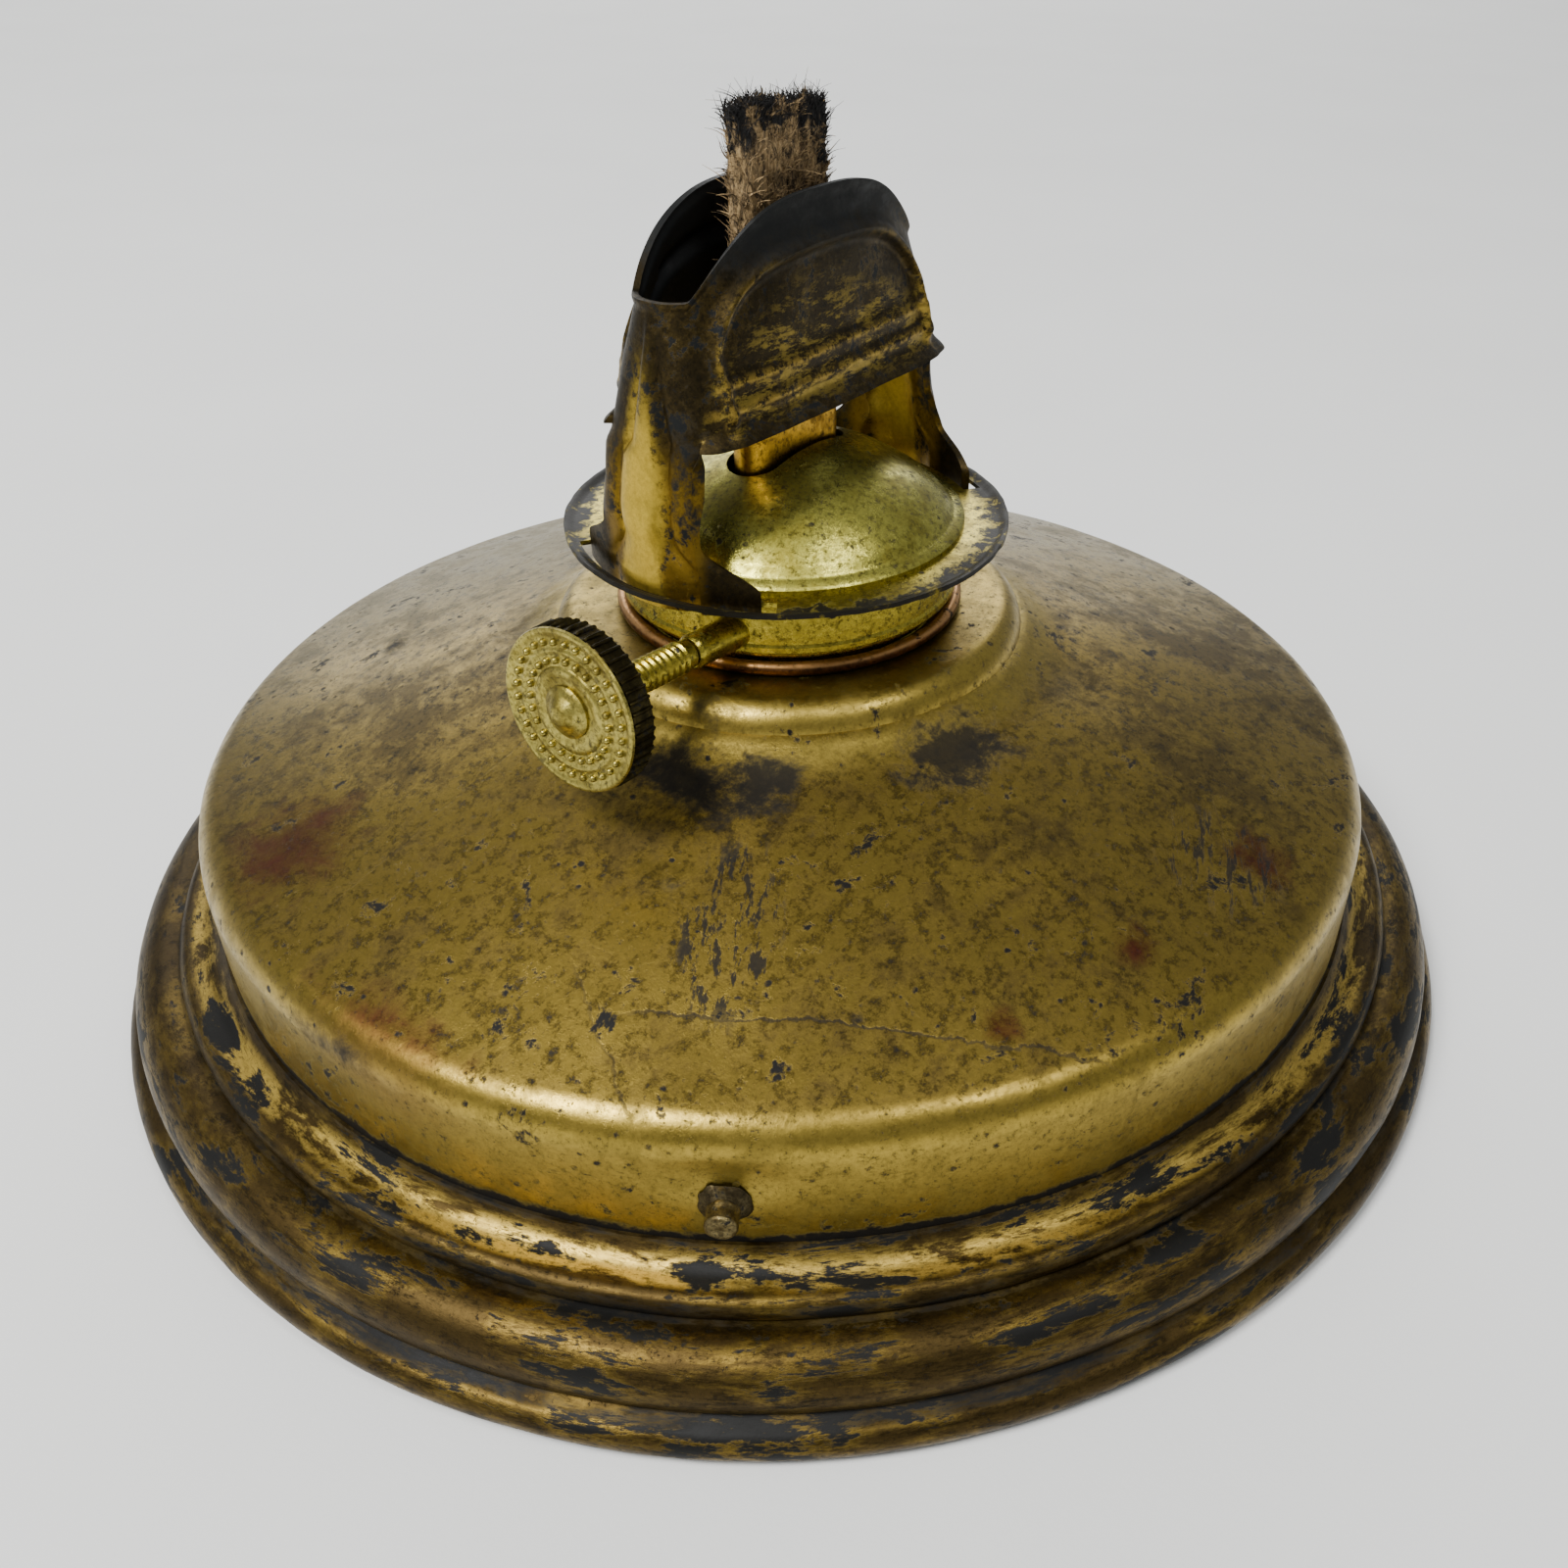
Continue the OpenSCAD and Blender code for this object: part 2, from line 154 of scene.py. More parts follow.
def finish_mesh(name, verts, faces, sharp=35):
    """A smooth-shaded object at the origin, from points in millimetres."""
    mesh = bpy.data.meshes.new(name)
    mesh.from_pydata([(x * MM, y * MM, z * MM) for x, y, z in verts], [], faces)
    bm = bmesh.new()
    bm.from_mesh(mesh)
    bmesh.ops.remove_doubles(bm, verts=bm.verts, dist=1e-7)
    bmesh.ops.dissolve_degenerate(bm, edges=bm.edges, dist=1e-8)
    bmesh.ops.recalc_face_normals(bm, faces=bm.faces)
    bm.to_mesh(mesh)
    bm.free()
    return linked(name, smoothed(mesh, sharp))


def lathe_grid(outline, segments, closed=True):
    """Points and faces of an outline turned about Z. An outline is a list of (radius, height)."""
    verts, faces = [], []
    rows = len(outline)
    for k in range(segments):
        t = 2 * math.pi * k / segments
        verts += [(r * math.cos(t), r * math.sin(t), z) for r, z in outline]
    for k in range(segments):
        here, there = k * rows, (k + 1) % segments * rows
        for i in range(rows if closed else rows - 1):
            j = (i + 1) % rows
            faces.append((here + i, there + i, there + j, here + j))
    return verts, faces


def lathe(name, outline, segments=192, closed=True, shape=None, sharp=35):
    """A turned piece. shape, if given, moves each point and is called with x, y and z."""
    verts, faces = lathe_grid(outline, segments, closed)
    if shape:
        verts = [shape(*v) for v in verts]
    return finish_mesh(name, verts, faces, sharp)


def sheet(name, grid, covered):
    """A sheet with real thickness, closed on itself. grid[i][j] is (outer point, inner point);
    covered(i, j) says whether the cell from column i and row j exists."""
    columns, rows = len(grid), len(grid[0])
    verts = [column[j][side] for side in (0, 1) for column in grid for j in range(rows)]
    inner = columns * rows

    def there(i, j):
        return 0 <= j < rows - 1 and covered(i % columns, j)

    faces = []
    for i in range(columns):
        k = (i + 1) % columns
        for j in range(rows - 1):
            if not there(i, j):
                continue
            a, b, c, d = i * rows + j, i * rows + j + 1, k * rows + j + 1, k * rows + j
            faces += [(a, d, c, b), (a + inner, b + inner, c + inner, d + inner)]
            for p, q, beside in ((b, c, there(i, j + 1)), (d, a, there(i, j - 1)),
                                 (c, d, there(i + 1, j)), (a, b, there(i - 1, j))):
                if not beside:
                    faces.append((p, q, q + inner, p + inner))
    used = sorted({v for f in faces for v in f})
    place = {v: n for n, v in enumerate(used)}
    return finish_mesh(name, [verts[v] for v in used], [tuple(place[v] for v in f) for f in faces])


def loft(name, loops, closed=True, shape=None, sharp=35):
    """A skin over closed loops of equal length. closed joins the last loop to the first."""
    verts = [p for loop in loops for p in loop]
    if shape:
        verts = [shape(*v) for v in verts]
    n = len(loops[0])
    faces = []
    for k in range(len(loops) if closed else len(loops) - 1):
        here, there = k * n, (k + 1) % len(loops) * n
        faces += [(here + i, here + (i + 1) % n, there + (i + 1) % n, there + i) for i in range(n)]
    return finish_mesh(name, verts, faces, sharp)


def obround(half_l, half_w, z, n=16):
    """Closed loop of a bar with round ends."""
    flat = half_l - half_w
    right = [(flat + half_w * math.cos(t), half_w * math.sin(t), z)
             for t in (math.radians(-90 + 180 * i / n) for i in range(n + 1))]
    return right + [(-x, -y, z) for x, y, z in right]


def moved(obj, matrix):
    """Puts an object's mesh somewhere and leaves the object at the origin."""
    obj.data.transform(matrix)
    return obj


def capped(obj):
    """Closes the open ends of a loft."""
    bm = bmesh.new()
    bm.from_mesh(obj.data)
    bmesh.ops.holes_fill(bm, edges=[e for e in bm.edges if e.is_boundary])
    bmesh.ops.recalc_face_normals(bm, faces=bm.faces)
    bm.to_mesh(obj.data)
    bm.free()
    return obj


def joined(name, parts):
    """One object out of several."""
    bm = bmesh.new()
    for part in parts:
        bm.from_mesh(part.data)
    mesh = bpy.data.meshes.new(name)
    bm.to_mesh(mesh)
    bm.free()
    for part in parts:
        bpy.data.objects.remove(part)
    return linked(name, smoothed(mesh))


def cut(obj, cutter):
    """Takes the cutter's shape out of a piece for good."""
    mod = obj.modifiers.new("cut", "BOOLEAN")
    mod.operation = "DIFFERENCE"
    mod.object = cutter
    mod.solver = "EXACT"
    smoothed(baked(obj).data)
    bpy.data.objects.remove(cutter)
    return obj


def wobble(x, y, z, size, seed=0.0):
    """Smooth noise from -1 to 1, with features about size millimetres across."""
    return noise.noise(Vector((x / size + seed, y / size - seed, z / size + 2 * seed)))


# ---- camera, floor and light

CAMERA_TURN = -51.3       # degrees round the lamp, from the front towards the knob
CAMERA_HEIGHT = 39.18     # degrees above the table
CAMERA_DISTANCE = 0.1847
CAMERA_AIM = (4.346, -1.888)    # how far the view turns off the foot's centre: right, down
CAMERA_ROLL = 1.83
LENS, SENSOR = 32.625, 36
LENS_SHIFT = (-0.0779, 0.0364)


def make_camera():
    a, e = math.radians(CAMERA_TURN), math.radians(CAMERA_HEIGHT)
    back = Vector((math.sin(a) * math.cos(e), -math.cos(a) * math.cos(e), math.sin(e)))
    right = Vector((math.cos(a), math.sin(a), 0))
    up = back.cross(right)
    yaw, pitch, roll = (math.radians(v) for v in (*CAMERA_AIM, CAMERA_ROLL))
    turned_right = right * math.cos(yaw) + back * math.sin(yaw)
    forward = right * math.sin(yaw) - back * math.cos(yaw)
    turned_up = up * math.cos(pitch) + forward * math.sin(pitch)
    forward = forward * math.cos(pitch) - up * math.sin(pitch)
    view_right = turned_right * math.cos(roll) - turned_up * math.sin(roll)
    view_up = turned_right * math.sin(roll) + turned_up * math.cos(roll)
    data = bpy.data.cameras.new("camera")
    data.lens = LENS
    data.sensor_width = SENSOR
    data.shift_x, data.shift_y = LENS_SHIFT
    data.clip_start = 0.01
    camera = linked("camera", data)
    axes = Matrix((view_right, view_up, -forward)).transposed()
    camera.matrix_world = Matrix.Translation(back * CAMERA_DISTANCE) @ axes.to_4x4()
    bpy.context.scene.camera = camera


make_camera()


# ---- materials

def linear(colour):
    """Linear light values of a colour written as 0 to 255."""
    return tuple((c / 255 / 12.92) if c < 11 else ((c / 255 + 0.055) / 1.055) ** 2.4 for c in colour) + (1,)


class Shade:
    """A procedural material, written node by node. Sizes are in millimetres."""

    def __init__(self, name, **surface):
        self.material = bpy.data.materials.new(name)
        self.material.use_nodes = True
        self.tree = self.material.node_tree
        self.surface = self.tree.nodes["Principled BSDF"]
        self.place = self.add("ShaderNodeTexCoord").outputs["Object"]
        self.xyz = self.add("ShaderNodeSeparateXYZ", {0: self.place}).outputs
        flat = self.add("ShaderNodeCombineXYZ", {0: self.xyz[0], 1: self.xyz[1]}).outputs[0]
        self.r = self.vector("LENGTH", flat)
        self.z = self.xyz[2]
        for socket, value in surface.items():
            self.set(socket.replace("_", " "), value)

    def set(self, socket, value):
        self.put(self.surface.inputs[socket], value)

    def put(self, socket, value):
        if isinstance(value, bpy.types.NodeSocket):
            self.tree.links.new(value, socket)
        else:
            socket.default_value = value

    def add(self, kind, inputs=None, **settings):
        node = self.tree.nodes.new(kind)
        for key, value in settings.items():
            setattr(node, key, value)
        for key, value in (inputs or {}).items():
            self.put(node.inputs[key], value)
        return node

    def vector(self, operation, a, *b):
        """Vector maths. A length or a dot product comes out as a number."""
        out = self.add("ShaderNodeVectorMath", dict(enumerate((a, *b))), operation=operation).outputs
        return out["Value"] if operation in ("LENGTH", "DOT_PRODUCT") else out[0]

    def rotated(self, vector, degrees):
        """A place turned round Z."""
        return self.add("ShaderNodeVectorRotate", {"Vector": vector, "Angle": math.radians(degrees)},
                        rotation_type="Z_AXIS").outputs[0]

    def plus(self, a, b, clamp=False):
        return self.math("ADD", a, b, clamp)

    def minus(self, a, b):
        return self.math("SUBTRACT", a, b)

    def math(self, operation, a, b=0.5, clamp=False):
        return self.add("ShaderNodeMath", {0: a, 1: b}, operation=operation, use_clamp=clamp).outputs[0]

    def turned(self, reach=14):
        """Coordinates that stretch a pattern round the lamp's axis, as a turned or rubbed part has."""
        x, y = (self.math("DIVIDE", self.xyz[i], self.r) for i in (0, 1))
        both = self.minus(self.z, self.times(self.r, 0.6))
        x, y = (self.times(v, reach * MM) for v in (x, y))
        return self.add("ShaderNodeCombineXYZ", {0: x, 1: y, 2: both}).outputs[0]

    def noise(self, size, detail=5.0, rough=0.6, twist=0.0, stretch=(1, 1, 1), at=0.0, place=None):
        """Noise with features about size millimetres across; stretch makes it longer along an axis."""
        scale = [1 / (size * MM * s) for s in stretch]
        moved = self.add("ShaderNodeMapping", {"Vector": place or self.place, "Location": (at, -at, at * 2),
                                               "Scale": scale}).outputs[0]
        return self.add("ShaderNodeTexNoise", {"Vector": moved, "Scale": 1.0, "Detail": detail,
                                               "Roughness": rough, "Distortion": twist}).outputs["Fac"]

    def cells(self, size, at=0.0):
        moved = self.add("ShaderNodeMapping", {"Vector": self.place, "Location": (at, at, -at),
                                               "Scale": [1 / (size * MM)] * 3}).outputs[0]
        return self.add("ShaderNodeTexVoronoi", {"Vector": moved, "Scale": 1.0}).outputs["Distance"]

    def band(self, value, low, high, to=(0.0, 1.0)):
        """Smooth step of a value from low to high. Swap low and high to turn it round."""
        if low > high:
            low, high, to = high, low, to[::-1]
        return self.add("ShaderNodeMapRange", {"Value": value, "From Min": low, "From Max": high,
                                               "To Min": to[0], "To Max": to[1]},
                        interpolation_type="SMOOTHSTEP").outputs["Result"]

    def step(self, value, low, high, to=(0.0, 1.0)):
        """The same for a length, from low to high millimetres."""
        return self.band(value, low * MM, high * MM, to)

    def between(self, value, low, high, soft):
        """1 while a length lies between two sizes, with a soft edge."""
        return self.times(self.step(value, low - soft, low + soft), self.step(value, high + soft, high - soft))

    def near(self, point, radius, shake=None, ragged=0.0, soft=0.5, stretch=(1, 1, 1), turn=0.0, depth=1.0):
        """depth at a point of the frame and 0 beyond a radius. shake is a noise that tears the edge."""
        step = self.vector("SUBTRACT", self.place, [c * MM for c in point])
        if turn:
            step = self.rotated(step, -turn)
        far = self.vector("LENGTH", self.vector("MULTIPLY", step, [1 / s for s in stretch]))
        if shake:
            far = self.plus(far, self.times(shake, ragged * MM))
        edge = radius + ragged / 2
        return self.band(far, edge * MM, edge * (1 - soft) * MM, (0.0, depth))

    def line(self, a, b, width, shake, ragged):
        """A scratch between two points, seen from above."""
        along = Vector((b[0] - a[0], b[1] - a[1], 0)).normalized()
        across = Vector((-along.y, along.x, 0))
        start = Vector((*a, 0)) * MM
        x, y = (self.minus(self.vector("DOT_PRODUCT", self.place, axis), axis.dot(start))
                for axis in (along, across))
        y = self.plus(y, self.times(self.minus(shake, 0.5), ragged * MM))
        length = math.dist(a, b)
        return self.times(self.band(self.math("ABSOLUTE", y), width * MM, width * MM * 0.3),
                          self.between(x, 0, length, length * 0.12))

    def most(self, *masks):
        out = masks[0]
        for mask in masks[1:]:
            out = self.math("MAXIMUM", out, mask)
        return out

    def times(self, *masks):
        out = masks[0]
        for mask in masks[1:]:
            out = self.math("MULTIPLY", out, mask)
        return out

    def mix(self, mask, a, b):
        """Colour a where the mask is 0 and b where it is 1. Colours are written as 0 to 255."""
        node = self.add("ShaderNodeMix", data_type="RGBA")
        for key, value in ((0, mask), (6, a), (7, b)):
            self.put(node.inputs[key], linear(value) if isinstance(value, tuple) else value)
        return node.outputs[2]

    def blend(self, mask, a, b):
        return self.add("ShaderNodeMix", {0: mask, 2: a, 3: b}, data_type="FLOAT").outputs[0]

    def bump(self, height, depth, before=None):
        """Relief from a height of 0 to 1 that is depth millimetres deep."""
        inputs = {"Height": height, "Distance": depth * MM}
        if before:
            inputs["Normal"] = before
        return self.add("ShaderNodeBump", inputs).outputs["Normal"]


PIT_DEPTH = 0.012


def tarnished(name, bright, mid, dark, seed, wear, black, rough=(0.3, 0.48), turned=0, size=1.0, extra=None):
    """Old brass: bright metal, a mid tarnish, dark oxide in blotches and specks, and a fine grain.

    black is lower where more of the metal has gone dark. turned draws the oxide out round the axis.
    extra gets the shade, its patchy noise, the colour and the dirt, and returns the last two changed."""
    s = Shade(name)
    where = s.turned(turned) if turned else s.place
    broad = s.noise(20 * size, 3, 0.6, 0.3, at=seed)
    patchy = s.noise(4.5 * size, 8, 0.74, 0.25, at=seed + 3, place=where)
    grain = s.noise(0.55, 4, 0.8, at=seed + 5)
    worn = s.band(s.plus(s.times(broad, 0.4), s.times(patchy, 0.6)), wear - 0.08, wear + 0.09)
    colour = s.mix(worn, mid, bright)
    freckle = s.noise(1.5 * size, 6, 0.8, at=seed + 13, place=where)
    brown = tuple(int((a + b) / 2.4) for a, b in zip(mid, dark))
    colour = s.mix(s.band(freckle, 0.48, 0.62, (0, 0.7)), colour, brown)
    dirt = s.band(s.plus(s.times(patchy, 0.75), s.times(broad, 0.25)), black, black + 0.05)
    ragged_cells = s.plus(s.cells(2.1, seed), s.times(s.noise(0.9, 4, 0.75, at=seed + 7), 0.5))
    spots = s.times(s.band(ragged_cells, 0.46, 0.34), s.band(patchy, 0.43, 0.58))
    dirt = s.most(dirt, spots, s.band(grain, 0.58, 0.68, (0, 0.7)), s.band(freckle, 0.60, 0.66, (0, 0.85)))
    if extra:
        colour, dirt = extra(s, patchy, colour, dirt)
    colour = s.mix(dirt, colour, dark)
    tint = s.band(grain, 0.3, 0.7, (1.14, 0.84))
    s.set("Base Color", s.vector("MULTIPLY", colour, tint))
    s.set("Metallic", s.band(dirt, 0.2, 1.0, (1.0, 0.15)))
    s.set("Specular IOR Level", 0.22)
    s.set("Roughness", s.plus(s.blend(worn, rough[1], rough[0]), s.times(dirt, 0.22), True))
    s.set("Normal", s.bump(dirt, -PIT_DEPTH, s.bump(s.plus(patchy, s.times(grain, 0.3)), 0.05)))
    return s.material


# Stains on the font: place, radius, ragged edge, softness, stretch, turn, depth
RED_STAINS = [
    ((-64.5, -4, 26), 11, 12, 0.6, (0.6, 1.3, 0.7)), ((3, -57, 29), 5, 9), ((-17, -53, 30), 3, 6),
    ((-33, -48, 29), 2.5, 5), ((-52, 22, 29), 9, 16)]
BRUSHED = [((-40, -24, 33.5), 10, 6, 0.3, (1.3, 0.6, 1), 31), ((-1, -54, 30), 9, 9, 0.3)]
SMEARS = [
    ((-29.5, -10, 38), 6.0, 15, 0.35, (1, 1.5, 1)), ((-26.5, -16, 37.8), 5.4, 15, 0.35, (1.5, 1, 1)),
    ((-11, -28.7, 38.4), 6.6, 15, 0.3, (1.5, 1, 1)), ((-22.5, -7, 41.5), 3.4, 10, 0.5, (1, 1.8, 1)),
    ((-27, -24, 37.5), 2.6, 12, 0.5), ((-19, -32, 37.5), 2.2, 11, 0.5),
    ((8, -29.5, 37.5), 6.5, 13, 0.7, (1.5, 1, 1), 0, 0.9), ((-17.6, 23.4, 39), 9, 12, 0.8, (1, 1, 1), 0, 0.7),
    ((-23.2, 41.2, 33), 2.0, 4), ((-39.3, -16.5, 34.5), 2.0, 6), ((-43.5, 28.3, 31.5), 1.8, 5),
    ((-40, -38.2, 30.4), 1.2, 4), ((-65, 1, 25), 3.0, 9, 0.4, (1, 2.4, 0.8))]


def font_marks(s, patchy, colour, dirt):
    """The font's marks: smears round the boss, scratches, red stains, grime at the wall's foot, a painted grey
    reflection on its far side and a painted highlight over the boss.
    """
    strokes = s.band(s.noise(1.1, 5, 0.7, stretch=(9, 1, 1), at=3.0, place=s.rotated(s.place, -31)), 0.5, 0.57)
    # Painted reflection: the far side of the font (towards +X, +Y) is turned greyer, as if it mirrored a
    # bright wall behind the lamp.
    back = s.band(s.plus(s.times(s.xyz[0], 0.6), s.times(s.xyz[1], 0.8)), -0.012, 0.055)
    colour = s.mix(s.times(back, 0.7), colour, (126, 118, 92))
    red, black, brushed = ([s.near(point, radius, patchy, *edge) for point, radius, *edge in stains]
                           for stains in (RED_STAINS, SMEARS, BRUSHED))
    red = s.most(*red)
    colour = s.mix(s.times(red, 0.75), colour, (84, 34, 28))
    # Painted highlight: the boss and neck, inside about 30 mm, are made brighter gold.
    boss_painted_highlight = s.times(s.step(s.plus(s.r, s.times(patchy, 5 * MM)), 33.5, 30), 0.4)
    colour = s.mix(boss_painted_highlight, colour, (188, 164, 76))
    wall = s.step(s.r, DRUM_R - 3.2, DRUM_R - 0.4)
    colour = s.mix(s.times(wall, 0.45), colour, (176, 152, 66))
    smear = s.most(*black, *(s.times(stain, strokes) for stain in brushed))
    scratch = s.most(s.line((-51.3, -20.9), (-28.7, -58), 0.28, patchy, 3.5),
                     s.times(s.line((-50, -14), (-58, -28), 0.22, patchy, 3), 0.7),
                     s.times(s.line((10, -47), (-6, -60), 0.2, patchy, 1.5), 0.6),
                     s.times(s.line((-30, 8), (-58, 12), 0.2, patchy, 2), 0.5))
    streak = s.band(s.noise(1.6, 7, 0.8, place=s.turned(20), at=2.5), 0.60, 0.66)
    smear = s.most(smear, s.times(streak, wall, s.step(s.z, 25, 21), 0.85))
    foot = s.times(s.step(s.z, 17.0, 14.3), wall, 0.55)
    foot = s.band(s.plus(foot, s.times(patchy, 0.9)), 0.72, 0.92)
    return colour, s.most(dirt, s.times(smear, 0.95), s.times(scratch, 0.8), foot)


def foot_marks(s, patchy, colour, dirt):
    """Dirt packed in the grooves of the foot, and brighter gold patches in the cove between the bead and the
    drum.
    """
    cove = s.times(s.between(s.r, 66.7, 69.3, 0.4), s.step(s.z, 11.6, 12.4))
    colour = s.mix(s.times(cove, s.band(patchy, 0.40, 0.52), 0.85), colour, (186, 158, 76))
    groove = s.most(s.times(s.between(s.z, 3.6, 4.9, 0.35), s.step(s.r, 74, 75)),
                    s.times(s.between(s.r, 70.4, 71.6, 0.35), s.step(s.z, 9, 9.6)),
                    s.step(s.r, 66.8, 66.0))
    packed = s.band(s.plus(s.times(groove, 0.36), s.times(patchy, 0.85)), 0.66, 0.88)
    return colour, s.most(dirt, packed)


def plate_marks(s, patchy, colour, dirt):
    """Black, pitted rim of the gallery plate."""
    on_plate = s.step(s.z, 51.5, 51.9)
    edge = s.times(s.step(s.r, 18.8, 23.2, (0.2, 0.42)), on_plate)
    return colour, s.most(dirt, s.band(s.plus(edge, s.times(patchy, 0.8)), 0.68, 0.78))


def collar_marks(s, patchy, colour, dirt):
    """A rubbed, coppery rim over a grimy foot."""
    low = s.step(s.z, 43.6, 43.1)
    colour = s.mix(s.times(s.between(s.z, 44.1, 44.6, 0.15), 0.6), colour, (220, 168, 104))
    return colour, s.most(dirt, s.times(low, 0.8))


# The raised border on a side of the hood: half length, height of its sides, rise of its arch
PANEL_HALF_L, PANEL_SIDE_TOP, PANEL_ARCH = 17, 71.5, 10.6


def hood_marks(s, patchy, colour, dirt):
    """Blue-black heat oxide at the top, gold rubbed through on the panel, and a painted highlight as a bright
    stripe down the pressed rib of each leg.
    """
    side = s.math("ABSOLUTE", s.xyz[1])
    high = s.step(s.plus(s.z, s.times(patchy, 9 * MM)), 82, 87.5)
    leg = s.step(s.plus(s.z, s.times(patchy, 12 * MM)), 82, 70)
    leg = s.times(leg, s.step(side, 7, 5))
    low = s.step(s.z, 69, 60)
    colour = s.mix(s.times(leg, low), colour, (124, 98, 30))
    across = s.math("ABSOLUTE", s.minus(s.xyz[1], 0.8 * MM))
    across = s.plus(across, s.step(s.z, 58, 76, (0, 1.8 * MM)))
    # Painted highlight: bright gold down the pressed rib of each leg, narrowing upwards; keep also clears the
    # dirt there.
    middle = s.times(leg, s.step(s.plus(across, s.times(patchy, 1.6 * MM)), 4.2, 3.0))
    colour = s.mix(s.times(middle, 0.9), colour, (200, 170, 64))
    edge = s.times(s.step(across, 2.6, 4.2), s.step(s.z, 54, 60), 0.3)
    edge = s.times(s.band(s.plus(edge, s.times(patchy, 0.8)), 0.6, 0.76), leg)
    panel = s.times(s.step(side, 5.0, 6.0), s.between(s.z, 67.5, 80.5, 1))
    rubbed = s.times(panel, s.band(s.noise(1.5, 9, 0.85, 0.2, (3.2, 1, 1), 5.0), 0.50, 0.57))
    colour = s.mix(s.times(rubbed, 0.8), colour, (150, 128, 56))
    along = s.math("ABSOLUTE", s.xyz[0])
    cubed = s.math("POWER", s.math("DIVIDE", along, PANEL_HALF_L * MM), 3.0)
    crown = s.math("SQRT", s.minus(1.0, cubed))
    below = s.minus(s.plus(s.times(crown, PANEL_ARCH * MM), PANEL_SIDE_TOP * MM), s.z)
    ridge = s.most(s.times(s.between(below, 0.5, 1.9, 0.4), s.step(along, PANEL_HALF_L, 16)),
                   s.between(along, 15.5, 16.7, 0.3), s.between(s.z, 69.1, 69.8, 0.3),
                   s.between(s.z, 71.3, 72.0, 0.3))
    ridge = s.times(panel, ridge, s.step(below, 0.2, 0.6),
                    s.band(s.noise(1.2, 7, 0.8, at=8.0), 0.46, 0.55))
    colour = s.mix(s.times(ridge, 0.75), colour, (166, 138, 62))
    rubbed = s.most(rubbed, ridge)
    keep = s.minus(1.0, s.most(s.times(middle, 0.9), rubbed))
    outwards = s.vector("MULTIPLY", s.place, (1, 4, 0))
    facing = s.vector("DOT_PRODUCT", s.add("ShaderNodeTexCoord").outputs["Normal"], outwards)
    inside = s.times(s.band(facing, 0.0, -0.004), s.step(s.z, 65, 69))
    return colour, s.most(s.times(s.most(dirt, s.times(high, 0.97)), keep), edge, inside, s.times(high, 0.9))


def knob_marks(s, patchy, colour, dirt):
    """Kept cleaner than the rest by handling."""
    return colour, s.times(dirt, 0.75)


# Bright metal, tarnish, oxide, seed, wear, black and further settings of each metal
METALS = {
    "tarnished_brass": ((148, 125, 56), (90, 75, 37), (15, 12, 8), 1.0, 0.48, 0.575, {"extra": font_marks}),
    "moulding_brass": ((138, 114, 50), (66, 53, 28), (11, 10, 7), 2.0, 0.52, 0.5,
                       {"turned": 17, "size": 0.6, "extra": foot_marks}),
    "coppery_brass": ((124, 80, 42), (70, 46, 28), (16, 12, 9), 3.0, 0.5, 0.58,
                      {"size": 0.4, "extra": collar_marks}),
    "peg_metal": ((132, 118, 78), (82, 70, 44), (20, 17, 12), 4.0, 0.5, 0.56, {"size": 0.2}),
    "solder": ((92, 82, 56), (58, 50, 34), (18, 15, 11), 5.0, 0.5, 0.54, {"rough": (0.45, 0.6), "size": 0.2}),
    "burner_brass": ((190, 172, 66), (140, 124, 44), (20, 17, 9), 6.0, 0.46, 0.57,
                     {"rough": (0.26, 0.42), "size": 0.5, "extra": plate_marks}),
    "dome_brass": ((190, 182, 84), (138, 128, 50), (28, 23, 10), 7.0, 0.46, 0.58,
                   {"rough": (0.26, 0.4), "size": 0.45}),
    "tube_brass": ((196, 152, 44), (138, 102, 26), (28, 19, 8), 8.0, 0.46, 0.6, {"size": 0.4}),
    "knob_brass": ((178, 164, 84), (128, 114, 50), (36, 29, 13), 9.0, 0.46, 0.56,
                   {"size": 0.3, "extra": knob_marks}),
    "knob_band_brass": ((80, 70, 34), (44, 38, 20), (14, 11, 6), 10.0, 0.52, 0.53, {"size": 0.3}),
    "scorched_brass": ((92, 76, 40), (50, 42, 26), (13, 15, 15), 11.0, 0.54, 0.53,
                       {"size": 0.35, "extra": hood_marks})}
MATERIALS = {name: tarnished(name, *values, **more) for name, (*values, more) in METALS.items()}


def wick_material():
    s = Shade("wick_cotton", Roughness=0.95)
    yarn = s.noise(0.8, 6, 0.75, 1.2, (1, 1, 2.2), 1.0)
    colour = s.mix(s.band(yarn, 0.36, 0.6), (52, 40, 25), (172, 144, 100))
    corner = s.times(s.step(s.xyz[0], 2, 6), 0.16)
    height = s.times(s.step(s.z, 84, 94), 0.34)
    burnt = s.plus(s.plus(height, corner), s.times(s.noise(2.8, 6, 0.72, 0.8, at=4.0), 1.1))
    colour = s.mix(s.band(burnt, 0.74, 0.86), colour, (14, 11, 9))
    s.set("Base Color", colour)
    s.set("Normal", s.bump(yarn, 0.3))
    return s.material


MATERIALS["wick_cotton"] = wick_material()


def cover(obj, slot):
    obj.data.materials.clear()
    obj.data.materials.append(MATERIALS[slot])


def fit(obj, slot, body, *nodes):
    """Finishes a piece, lets it move with its body and stand for the CAD nodes of the same role."""
    cover(obj, slot)
    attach(obj, body)
    for node in nodes:
        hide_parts(node)
    return obj


# ---- font and foot

